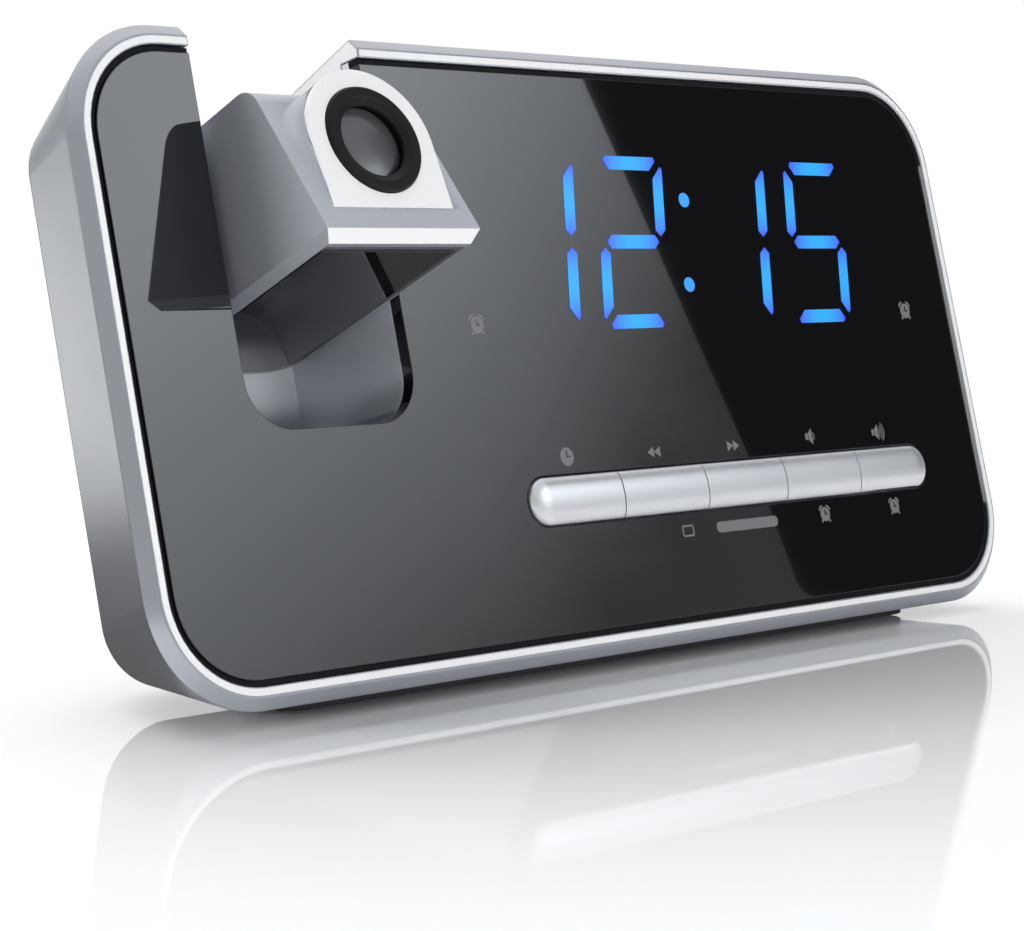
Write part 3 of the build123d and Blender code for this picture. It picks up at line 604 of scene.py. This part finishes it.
def build_icons():
    """Prints each icon at the X and S of its middle."""
    bm, marks = bmesh.new(), bmesh.new()
    clock_icon(bm, marks, -13.9, 29.8)
    arrow_icon(bm, 7.0, 29.4, -1)
    arrow_icon(bm, 27.5, 29.4, 1)
    volume_icon(bm, 49.0, 29.9, 1)
    volume_icon(bm, 68.3, 29.7, 3)
    pill_icon(bm, 27.5, 15.4, 16.3, 1.9)
    screen_icon(bm, 12.0, 15.4, 2.6, 1.7, 0.32)
    for x, s, scale in ALARMS:
        alarm_icon(bm, marks, x, s, scale)
    for name, mesh, material in (("panel_icons", bm, printed_icon()), ("icon_marks", marks, gloss_black())):
        bmesh.ops.recalc_face_normals(mesh, faces=mesh.faces)
        mesh.transform(FACE)
        finish_mesh(name, mesh, material, "clock", smooth=False, weighted=False)


# ---- pieces taken from the solids with softened edges -----------------------------------------------------
LIP_SLOPE = (0, 1.67, 1.91)     # direction in which the bevel under the projector's lens looks
LENS_PLATE_EDGE, LINE_EDGE, TRIM_EDGE = 0.00006, 0.00005, 0.00008      # edge widths of thin pieces, in metres


def paint_light_and_shade_by_facing(piece, material, place, outward, right_of=-1.0, nearly=0.999):
    """Gives the faces that look nearly in one direction of the clock's own axes another paint, a lighter or
    darker copy picked by the way the faces look: painted light and shade.
    """
    if len(piece.data.materials) == 1:
        piece.data.materials.append(material)
    direction = (place.to_3x3() @ Vector(outward)).normalized()
    for face in piece.data.polygons:
        if face.normal.dot(direction) > nearly and face.center.x > right_of:
            face.material_index = 1


def build_housing():
    edge, fine = sizes().case_edge, sizes().fine_edge
    casing = soft_copy("front_casing", edge, silver_paint(), "clock")
    # Faces of the casing that look forwards (the front strip) and the notch's right wall get the lighter
    # silver: painted light.
    paint_light_and_shade_by_facing(casing, silver_with_painted_light(), FACE, (0, 0, 1))
    paint_light_and_shade_by_facing(casing, silver_with_painted_light(), FACE, (-1, 0, 0), right_of=NOTCH_MIDDLE)
    soft_copy("rear_cover", edge, textured_black(), "clock", sharper_than=30)
    # The pocket's inside gets a lighter silver so it reads as lit, and its faces that look backwards or
    # upwards get the darker silver again: painted light and shade.
    pocket = soft_copy("projector_pocket", fine, pocket_silver_with_painted_light(), "clock")
    for outward in ((0, 0, -1), (0, 1, 0)):
        paint_light_and_shade_by_facing(pocket, silver_paint(), FACE, outward, nearly=0.7)
    soft_copy("base_stand", edge, textured_black(), "clock")
    soft_copy("foot_pads", fine, foot_rubber(), "clock")
    soft_copy("battery_door", fine, textured_black(), "battery_door")


def build_front():
    soft_copy("front_panel", sizes().fine_edge, gloss_black(), "clock")
    soft_copy("panel_frame", sizes().fine_edge, frame_black(), "clock")


BAR_X, BAR_S, BAR_W, BAR_H = 28.1, 22.7, 104.8, 7.9
KEYS = ("clock", "rewind", "forward", "volume_down", "volume_up")
KEY_GAP, KEY_TOP = 0.25, 1.15
KEY_FULLNESS = 0.9              # below 1, the front of a key is fuller than an ellipse
KEY_FOOT, KEY_CUT = -2.4, -2.0  # height to which the drawn front goes down, and where the solid key goes on
ROUND_STEPS = 32                # parts of the half circle at either end of the row


def key_profile():
    """Half section of the row of keys, from the crest of its front down its side: S offset and height."""
    half, rise = BAR_H / 2, KEY_TOP - PANEL_FRONT
    points = [(half * sin(radians(angle)), PANEL_FRONT + rise * cos(radians(angle)) ** KEY_FULLNESS)
              for angle in range(0, 90, 5)]
    return points + [(half, PANEL_FRONT), (half, KEY_FOOT)]


def chain(bm, points):
    """A row of joined edges through points; returns its corners and edges."""
    verts = [bm.verts.new(point) for point in points]
    return verts, [bm.edges.new(pair) for pair in zip(verts, verts[1:])]


def add_key_front(bm, left, right, round_end):
    """The visible front of one key: its section drawn out along X, and its half-round end if it has one.

    The round end is at the left for -1 and at the right for 1.
    """
    half = key_profile()
    section = [(-offset, height) for offset, height in reversed(half)] + half[1:]
    start, stop = (right, left) if round_end < 0 else (left, right)
    if round_end:
        stop -= round_end * BAR_H / 2
    verts, edges = chain(bm, [(start, BAR_S + offset, height) for offset, height in section])
    cap = [bm.faces.new(verts)]
    drawn = bmesh.ops.extrude_edge_only(bm, edges=edges)
    moved = [item for item in drawn["geom"] if isinstance(item, bmesh.types.BMVert)]
    bmesh.ops.translate(bm, verts=moved, vec=(stop - start, 0, 0))
    if round_end:
        verts, edges = chain(bm, [(stop, BAR_S + offset, height) for offset, height in half])
        bmesh.ops.spin(bm, geom=verts + edges, cent=(stop, BAR_S, 0), axis=(0, 0, 1), angle=-round_end * pi,
                       steps=ROUND_STEPS)
    else:
        cap.append(bm.faces.new(moved))
    bmesh.ops.remove_doubles(bm, verts=bm.verts, dist=DRAWN_WELD)
    edges = [edge for face in cap if face.is_valid for edge in face.edges if len(edge.link_faces) == 2]
    bevel(bm, edges, sizes().key_edge / MM)
    close_openings(bm)
    bm.transform(FACE)


def close_openings(bm):
    """Closes each opening of a skin with a flat face and turns all its faces outwards."""
    bmesh.ops.holes_fill(bm, edges=[edge for edge in bm.edges if edge.is_boundary])
    bmesh.ops.recalc_face_normals(bm, faces=bm.faces)


def join_cut_solid(bm, node, height, keep_outer=False):
    """Adds a solid's mesh to the one being made, cut at a height: what lies below it, or above it."""
    rest = welded_copy(node)
    bmesh.ops.bisect_plane(rest, geom=rest.verts[:] + rest.edges[:] + rest.faces[:],
                           plane_co=FACE @ Vector((0, 0, height)), plane_no=FACE.to_3x3() @ Vector((0, 0, 1)),
                           clear_outer=not keep_outer, clear_inner=keep_outer)
    close_openings(rest)
    spare = bpy.data.meshes.new(node + "_rest")
    rest.to_mesh(spare)
    rest.free()
    bm.from_mesh(spare)
    bpy.data.meshes.remove(spare)


def build_keys():
    """Keys with a rounded front, on the flange and stem of the solid ones."""
    pitch = BAR_W / len(KEYS)
    for index, key in enumerate(KEYS):
        bm = bmesh.new()
        left = BAR_X - BAR_W / 2 + index * pitch + KEY_GAP / 2
        round_end = {0: -1, len(KEYS) - 1: 1}.get(index, 0)
        left -= KEY_GAP / 2 if round_end < 0 else 0
        right = left + pitch - (KEY_GAP / 2 if round_end else KEY_GAP)
        add_key_front(bm, left, right, round_end)
        join_cut_solid(bm, key + "_key", KEY_CUT)
        finish_mesh(key + "_key_skin", bm, key_plating(), key + "_key",
                    replaced=(key + "_key",))


def build_lens():
    """Front lens of the projector: domed glass with a flat back, turned about the lens axis."""
    radius, top, dome, thick = 6.5, 97.5, 0.6, 2.6
    ball = (radius ** 2 + dome ** 2) / (2 * dome)
    profile = [(0, top - thick), (radius, top - thick), (radius, top - dome)]
    profile += [(radius * part, top - ball + sqrt(ball ** 2 - (radius * part) ** 2))
                for part in (tenth / 10 for tenth in range(9, -1, -1))]
    bm = bmesh.new()
    x, out = LENS_AXIS
    verts, edges = chain(bm, [(x + r, s, out) for r, s in profile])
    bmesh.ops.spin(bm, geom=verts + edges, cent=(x, 0, out), axis=(0, 1, 0), angle=2 * pi, steps=96,
                   use_merge=True)
    face_piece("front_lens", bm, lens_glass(), "focus_ring", ("projection_lens",), TILTED)


# the lens plate in the closed projector: radius of its round part, height of its straight edge, S of its back
# and of its face, and how near to the round part a point has to be to belong to it
PLATE_R, PLATE_LOW, PLATE_BACK, PLATE_FACE, ON_ARC = 11.7, -5.4, 97.3, 98.65, 0.02


def straighten_plate_edge(bm):
    """Brings the arc that strays past the lens plate's straight lower edge back onto that edge."""
    module = TILTED.inverted()
    for vert in bm.verts:
        x, s, out = module @ vert.co
        reach = Vector((x - LENS_AXIS[0], out - LENS_AXIS[1])).length
        if s > PLATE_BACK and out > PLATE_LOW + 0.001 and abs(reach - PLATE_R) < ON_ARC:
            vert.co = TILTED @ Vector((x, PLATE_FACE if s > PLATE_BACK + 0.5 else s, PLATE_LOW))


# room round the lens in the closed projector: half width, lowest S, greatest height
FLARE_HALF, FLARE_FOOT, FLARE_LOW = 14.7, 86, -2.5


def near_lens(edge):
    """Whether an edge lies on the raised part round the lens, which is already softly shaped."""
    middle = TILTED.inverted() @ ((edge.verts[0].co + edge.verts[1].co) / 2)
    return abs(middle.x - LENS_AXIS[0]) < FLARE_HALF and middle.y > FLARE_FOOT and middle.z < FLARE_LOW


def build_projector():
    edge = sizes().case_edge
    shell = soft_copy("projector_shell", edge, projector_silver_with_painted_shade(), "projector", segments=3,
                      skip=near_lens, shape=straighten_plate_edge)
    # The lip bevel under the lens gets the lighter silver: painted light.
    paint_light_and_shade_by_facing(shell, silver_with_painted_light(), TILTED, LIP_SLOPE)
    soft_copy("projector_front", sizes().fine_edge, gloss_black(), "projector")
    # The whole lens plate is given the lighter silver as well: painted light.
    soft_copy("lens_plate", LENS_PLATE_EDGE, silver_with_painted_light(), "projector", join_flats=False,
              shape=straighten_plate_edge)
    soft_copy("focus_ring", sizes().fine_edge, ring_black(), "focus_ring", segments=3)
    soft_copy("projector_frame", LINE_EDGE, frame_black(), "projector")
    soft_copy("projector_trim", TRIM_EDGE, trim_silver(), "projector")
    build_lens()
    for node in ("lens_barrel", "lamp_house"):
        paint_node(node, moulded_black())
    paint_node("time_film", dark_film())
    paint_node("projector_lamp", milky_lamp())
    paint_node("pivot_pins", plain_steel())


SCREWS = ((-33.5, 42.0), (76.9, 34.0), (-33.5, 76.0), (76.9, 76.0))
SCREW_R, SCREW_STEPS = 2.8, 36
SCREW_FACE, SCREW_TOP = -37.4, 0.8      # height of a head's flat face, and how much of the head is drawn here
CROSS_REACH, CROSS_HALF, CROSS_DEPTH = 1.7, 0.35, 0.6


def add_screw_head(bm, x, s):
    """The outer part of a screw's head, with a cross recess pressed into its flat face."""
    face, rim = SCREW_FACE, SCREW_FACE + SCREW_TOP
    quarter = [(CROSS_REACH, -CROSS_HALF), (CROSS_REACH, CROSS_HALF), (CROSS_HALF, CROSS_HALF)]
    cross = [(x + a * cos(turn) - b * sin(turn), s + a * sin(turn) + b * cos(turn), face)
             for turn in (0, pi / 2, pi, 3 * pi / 2) for a, b in quarter]
    angles = [2 * pi * step / SCREW_STEPS for step in range(SCREW_STEPS)]
    ring = [(x + SCREW_R * cos(angle), s + SCREW_R * sin(angle), face) for angle in angles]
    loops = []
    for points, deep in ((ring, rim), (cross, face + CROSS_DEPTH)):
        verts, edges = chain(bm, points)
        edges.append(bm.edges.new((verts[-1], verts[0])))
        loops.append(edges)
        drawn = bmesh.ops.extrude_edge_only(bm, edges=edges)
        moved = [item for item in drawn["geom"] if isinstance(item, bmesh.types.BMVert)]
        bmesh.ops.translate(bm, verts=moved, vec=(0, 0, deep - face))
        last = [item for item in drawn["geom"] if isinstance(item, bmesh.types.BMEdge)
                and all(vert in moved for vert in item.verts)]
    bmesh.ops.edgeloop_fill(bm, edges=last)
    bmesh.ops.triangle_fill(bm, use_beauty=True, edges=loops[0] + loops[1])


def build_screws():
    """Case screws: the solid ones up to their heads, whose outer part has a cross recess."""
    bm = bmesh.new()
    for x, s in SCREWS:
        add_screw_head(bm, x, s)
    close_openings(bm)
    bm.transform(FACE)
    join_cut_solid(bm, "case_screws", SCREW_FACE + SCREW_TOP, keep_outer=True)
    finish_mesh("screw_heads", bm, plain_steel(), "clock", smooth=False, weighted=False,
                replaced=("case_screws",))


def build_inside():
    for node in ("display_module", "tact_switches", "board_spacers", "battery_box", "dc_jack", "pivot_bushes",
                 "friction_washers"):
        paint_node(node, moulded_black())
    for node in ("display_board", "main_board"):
        paint_node(node, green_board())
    paint_node("speaker", speaker_black())
    paint_node("backup_battery", battery_sleeve())
    build_screws()


# ---- stage ------------------------------------------------------------------------------------------------
CAMERA_PLACE = (-0.3154, -0.31426, 0.0694)
VIEW = Vector((0.6958, 0.7132, -0.0847)).normalized()
CAMERA_LENS = 90.85             # focal length in millimetres, for a sensor 36 wide
CLOCK_MIDDLE = Vector((0, -0.014, 0.05))
PANEL_MIRROR = Vector((0.6958, -0.6652, 0.2705))        # where the panel sends the camera's middle ray


def build_camera():
    data = bpy.data.cameras.new("Camera")
    data.lens = CAMERA_LENS
    data.sensor_width = 36
    data.clip_start = 0.02
    data.clip_end = 50
    camera = add_object("Camera", data)
    right = VIEW.cross(Vector((0, 0, 1))).normalized()
    axes = Matrix((right, right.cross(VIEW), -VIEW)).transposed()
    camera.matrix_world = Matrix.Translation(CAMERA_PLACE) @ axes.to_4x4()
    bpy.context.scene.camera = camera


def place_facing(centre, target):
    """Where a card or lamp goes so that its front looks at a point."""
    centre, target = Vector(centre), Vector(target)
    aim = (target - centre).normalized()
    side = Vector((0, 0, 1)).cross(aim).normalized()
    return Matrix.Translation(centre) @ Matrix((side, aim.cross(side), aim)).transposed().to_4x4()


FLOOR_HALF = 8
MIRROR_END = 0.24               # how far in front of the clock's middle the floor stops mirroring
WHITE_FROM, WHITE_TO = 0.13, 0.40       # distances over which the floor turns into the white background


def build_floor():
    """White floor that fades into the background and mirrors the clock most where it stands."""
    mesh = bpy.data.meshes.new("floor")
    bm = bmesh.new()
    bmesh.ops.create_grid(bm, x_segments=1, y_segments=1, size=FLOOR_HALF)
    bm.to_mesh(mesh)
    bm.free()
    floor = add_object("floor", mesh)
    material, nodes, links = new_material("Floor")
    shader = nodes["Principled BSDF"]
    set_inputs(shader, Base_Color=(0.75, 0.75, 0.75, 1), Roughness=1.0, Specular_IOR_Level=0.0,
               Coat_IOR=2.5, Coat_Roughness=0.02)
    place = nodes.new("ShaderNodeTexCoord")
    forward = nodes.new("ShaderNodeVectorMath")
    forward.operation = "DOT_PRODUCT"
    forward.inputs[1].default_value = (-VIEW.x, -VIEW.y, 0)
    mirror = nodes.new("ShaderNodeMapRange")
    mirror.interpolation_type = "SMOOTHSTEP"
    set_inputs(mirror, From_Min=0.0, From_Max=MIRROR_END, To_Min=1.0, To_Max=0.0)
    distance = nodes.new("ShaderNodeVectorMath")
    distance.operation = "LENGTH"
    far = nodes.new("ShaderNodeMapRange")
    far.interpolation_type = "SMOOTHSTEP"
    set_inputs(far, From_Min=WHITE_FROM, From_Max=WHITE_TO)
    white = nodes.new("ShaderNodeEmission")
    blend = nodes.new("ShaderNodeMixShader")
    links.new(place.outputs["Object"], forward.inputs[0])
    links.new(forward.outputs["Value"], mirror.inputs["Value"])
    links.new(mirror.outputs["Result"], shader.inputs["Coat Weight"])
    links.new(place.outputs["Object"], distance.inputs[0])
    links.new(distance.outputs["Value"], far.inputs["Value"])
    links.new(far.outputs["Result"], blend.inputs["Fac"])
    links.new(shader.outputs["BSDF"], blend.inputs[1])
    links.new(white.outputs["Emission"], blend.inputs[2])
    links.new(blend.outputs["Shader"], nodes["Material Output"].inputs["Surface"])
    mesh.materials.append(material)


def card_material(name, tint):
    """Glows as strongly as the mesh's own light values say; clear when met from behind."""
    material, nodes, links = new_material(name)
    nodes.remove(nodes["Principled BSDF"])
    glow = nodes.new("ShaderNodeAttribute")
    glow.attribute_name = "light"
    light = nodes.new("ShaderNodeEmission")
    set_inputs(light, Color=(*tint, 1))
    side = nodes.new("ShaderNodeNewGeometry")
    clear = nodes.new("ShaderNodeBsdfTransparent")
    choose = nodes.new("ShaderNodeMixShader")
    links.new(glow.outputs["Fac"], light.inputs["Strength"])
    links.new(side.outputs["Backfacing"], choose.inputs["Fac"])
    links.new(light.outputs["Emission"], choose.inputs[1])
    links.new(clear.outputs["BSDF"], choose.inputs[2])
    links.new(choose.outputs["Shader"], nodes["Material Output"].inputs["Surface"])
    return material


CARD_CUTS = 31                  # cuts across and along a card whose light varies
FALL_FROM, DROP_FROM = 0.02, 0.23       # where along a card's width its fall and its drop begin


def add_card(name, centre, target, corners, level, across=0.0, upward=0.0, fall=0.0, drop=0.0, least=0.0,
             most=4.0, tint=(1, 1, 1)):
    """A studio card seen only in reflections; its light may grow across it and up it, per metre.

    With a fall it loses light faster on the far side of its middle, and with a drop also at its near end.
    """
    mesh = bpy.data.meshes.new(name)
    bm = bmesh.new()
    layer = bm.verts.layers.float.new("light")
    bm.faces.new([bm.verts.new((x, y, 0)) for x, y in corners])
    if across or upward:
        bmesh.ops.subdivide_edges(bm, edges=bm.edges, cuts=CARD_CUTS, use_grid_fill=True)
    for vert in bm.verts:
        x, y = vert.co.xy
        light = level + across * x + upward * y - fall * max(0.0, FALL_FROM - x)
        vert[layer] = max(least, min(most, light) - drop * max(0.0, x - DROP_FROM))
    bm.transform(place_facing(centre, target))
    bm.to_mesh(mesh)
    bm.free()
    card = add_object(name, mesh)
    mesh.materials.append(card_material(name, tint))
    card.visible_camera = False
    card.visible_shadow = False
    card.visible_diffuse = False


def rectangle(width, height):
    x, y = width / 2, height / 2
    return [(-x, -y), (x, -y), (x, y), (-x, y)]


def add_lamp(name, place, width, height, power):
    """A rectangular lamp that shines on the clock and shows in no reflection."""
    data = bpy.data.lights.new(name, "AREA")
    data.shape = "RECTANGLE"
    data.size = width
    data.size_y = height
    data.energy = power
    lamp = add_object(name, data)
    lamp.matrix_world = place_facing(place, CLOCK_MIDDLE) @ Matrix.Rotation(pi, 4, "Y")
    lamp.visible_glossy = False


def build_world():
    """White behind the clock; in reflections, grey at the horizon and paler overhead."""
    world = bpy.data.worlds.new("Studio")
    bpy.context.scene.world = world
    world.use_nodes = True
    nodes, links = world.node_tree.nodes, world.node_tree.links
    sky = nodes["Background"]
    direction = nodes.new("ShaderNodeTexCoord")
    split = nodes.new("ShaderNodeSeparateXYZ")
    shade = nodes.new("ShaderNodeValToRGB")
    shade.color_ramp.elements[0].color = (0.30, 0.31, 0.33, 1)
    shade.color_ramp.elements[1].color = (0.55, 0.57, 0.60, 1)
    shade.color_ramp.elements[1].position = 0.75
    seen = nodes.new("ShaderNodeBackground")
    set_inputs(seen, Color=(1, 1, 1, 1))
    rays = nodes.new("ShaderNodeLightPath")
    choose = nodes.new("ShaderNodeMixShader")
    links.new(direction.outputs["Generated"], split.inputs["Vector"])
    links.new(split.outputs["Z"], shade.inputs["Fac"])
    links.new(shade.outputs["Color"], sky.inputs["Color"])
    links.new(rays.outputs["Is Camera Ray"], choose.inputs["Fac"])
    links.new(sky.outputs["Background"], choose.inputs[1])
    links.new(seen.outputs["Background"], choose.inputs[2])
    links.new(choose.outputs["Shader"], nodes["World Output"].inputs["Surface"])


def flag_corners():
    """The dark flag in front of the card: a nearly upright left edge and a round lower corner."""
    edge, radius, middle = -0.0950, 0.013, -0.1185
    far, bottom, top = -0.7, -0.305, 0.46
    turn = [(edge - radius + radius * cos(a), middle + radius * sin(a))
            for a in (radians(angle) for angle in range(-74, 1, 12))]
    rise = [(-0.0955, -0.07), (-0.0910, 0.01), (-0.0824, 0.164), (-0.070, top)]
    return [(far, bottom), *turn, *rise, (far, top)]


CARD_DISTANCE = 0.9             # from the clock's middle to the card that its panel mirrors
CARDS = (                       # name, place, size, light
    ("back_card", (1.5, 1.5, 0.3), (2.4, 1.2), 1.08),
    ("left_card", (-0.8, -0.95, 0.45), (0.9, 0.7), 0.40),
    ("top_card", (0.0, 0.55, 1.05), (2.6, 1.6), 0.92),
    ("left_flag", (-0.42, 0.27, 0.2), (0.9, 0.6), 0.50))
# Dark sheets lying on the floor, seen only in reflections: the near one is a painted shadow of the clock on
# the floor behind it, and the far one darkens the floor far behind at the left.
FLOOR_SHADE_SHEETS = (                 # name, place, size, light
    ("far_floor_flag", (-0.52, 0.35, 0.003), (0.8, 0.8), 0.08),
    ("near_floor_painted_shadow", (-0.13, 0.085, 0.002), (0.2, 0.3), 0.15))
LAMPS = (                       # name, place, width, height, power
    ("overhead", (0.1, 0.55, 1.0), 1.2, 1.2, 15),
    ("front", (0.35, -1.18, 0.08), 0.6, 0.5, 5.9),
    ("low", (-0.1, -0.62, 0.04), 0.4, 0.06, 1.8),
    ("left", (-0.80, 0.42, 0.20), 0.3, 0.3, 5.5))


def build_stage():
    bpy.context.scene.view_settings.view_transform = "Standard"
    build_camera()
    build_floor()
    build_world()
    card = CLOCK_MIDDLE + PANEL_MIRROR.normalized() * CARD_DISTANCE
    flag = CLOCK_MIDDLE + PANEL_MIRROR.normalized() * (CARD_DISTANCE - 0.001)
    add_card("panel_card", card, CLOCK_MIDDLE, rectangle(1.4, 0.56), 1.28, across=4.2, upward=8.6,
             fall=6.0, drop=16.0, least=0.34, most=3.4, tint=(0.90, 0.95, 1.0))
    add_card("panel_flag", flag, CLOCK_MIDDLE, flag_corners(), 0.02)
    for name, place, size, light in CARDS:
        add_card(name, place, CLOCK_MIDDLE, rectangle(*size), light)
    for name, place, size, light in FLOOR_SHADE_SHEETS:
        add_card(name, place, (place[0] + 0.01, place[1], 1), rectangle(*size), light)
    for lamp in LAMPS:
        add_lamp(*lamp)


# ---- operators --------------------------------------------------------------------------------------------
class CLOCK_OT_housing(bpy.types.Operator):
    """Rounds the edges of the housing, pocket, stand, feet and battery door and paints them"""
    bl_idname = "clock.housing"
    bl_label = "Housing"

    def execute(self, context):
        build_housing()
        return {"FINISHED"}


class CLOCK_OT_front(bpy.types.Operator):
    """Finishes the gloss panel and the black frame round it"""
    bl_idname = "clock.front"
    bl_label = "Front panel"

    def execute(self, context):
        build_front()
        return {"FINISHED"}


class CLOCK_OT_numerals(bpy.types.Operator):
    """Draws the lit bars of the time and its colon"""
    bl_idname = "clock.numerals"
    bl_label = "Numerals"

    def execute(self, context):
        build_numerals()
        return {"FINISHED"}


class CLOCK_OT_icons(bpy.types.Operator):
    """Prints the small icons on the panel"""
    bl_idname = "clock.icons"
    bl_label = "Icons"

    def execute(self, context):
        build_icons()
        return {"FINISHED"}


class CLOCK_OT_keys(bpy.types.Operator):
    """Gives the five keys their rounded fronts and plates them"""
    bl_idname = "clock.keys"
    bl_label = "Keys"

    def execute(self, context):
        build_keys()
        return {"FINISHED"}


class CLOCK_OT_projector(bpy.types.Operator):
    """Finishes the tilting projector, its lens plate and focus ring, and draws its front lens"""
    bl_idname = "clock.projector"
    bl_label = "Projector"

    def execute(self, context):
        build_projector()
        return {"FINISHED"}


class CLOCK_OT_inside(bpy.types.Operator):
    """Gives the boards, speaker, battery and other inner pieces their finishes and draws the screw heads"""
    bl_idname = "clock.inside"
    bl_label = "Inside"

    def execute(self, context):
        build_inside()
        return {"FINISHED"}


class CLOCK_OT_stage(bpy.types.Operator):
    """Sets up the camera, floor, cards and lamps"""
    bl_idname = "clock.stage"
    bl_label = "Stage"

    def execute(self, context):
        build_stage()
        return {"FINISHED"}


STEPS = (CLOCK_OT_housing, CLOCK_OT_front, CLOCK_OT_numerals, CLOCK_OT_icons,
         CLOCK_OT_keys, CLOCK_OT_projector, CLOCK_OT_inside, CLOCK_OT_stage)


class CLOCK_PT_panel(bpy.types.Panel):
    """Lists the clock's sizes, colours and building steps"""
    bl_label = "Alarm Clock"
    bl_space_type = "VIEW_3D"
    bl_region_type = "UI"
    bl_category = "Alarm Clock"

    def draw(self, context):
        column = self.layout.column()
        for group in (context.scene.clock_sizes, context.scene.clock_colours):
            for key in group.bl_rna.properties.keys():
                if key not in ("rna_type", "name"):
                    column.prop(group, key)
        for step in STEPS:
            column.operator(step.bl_idname)


CLASSES = (ClockSizes, ClockColours, *STEPS, CLOCK_PT_panel)


def register():
    for item in CLASSES:
        bpy.utils.register_class(item)
    bpy.types.Scene.clock_sizes = bpy.props.PointerProperty(type=ClockSizes)
    bpy.types.Scene.clock_colours = bpy.props.PointerProperty(type=ClockColours)


def unregister():
    del bpy.types.Scene.clock_colours
    del bpy.types.Scene.clock_sizes
    for item in reversed(CLASSES):
        bpy.utils.unregister_class(item)


def main():
    register()
    for step in STEPS:
        group, name = step.bl_idname.split(".")
        getattr(getattr(bpy.ops, group), name)()


if __name__ == "__main__":
    main()
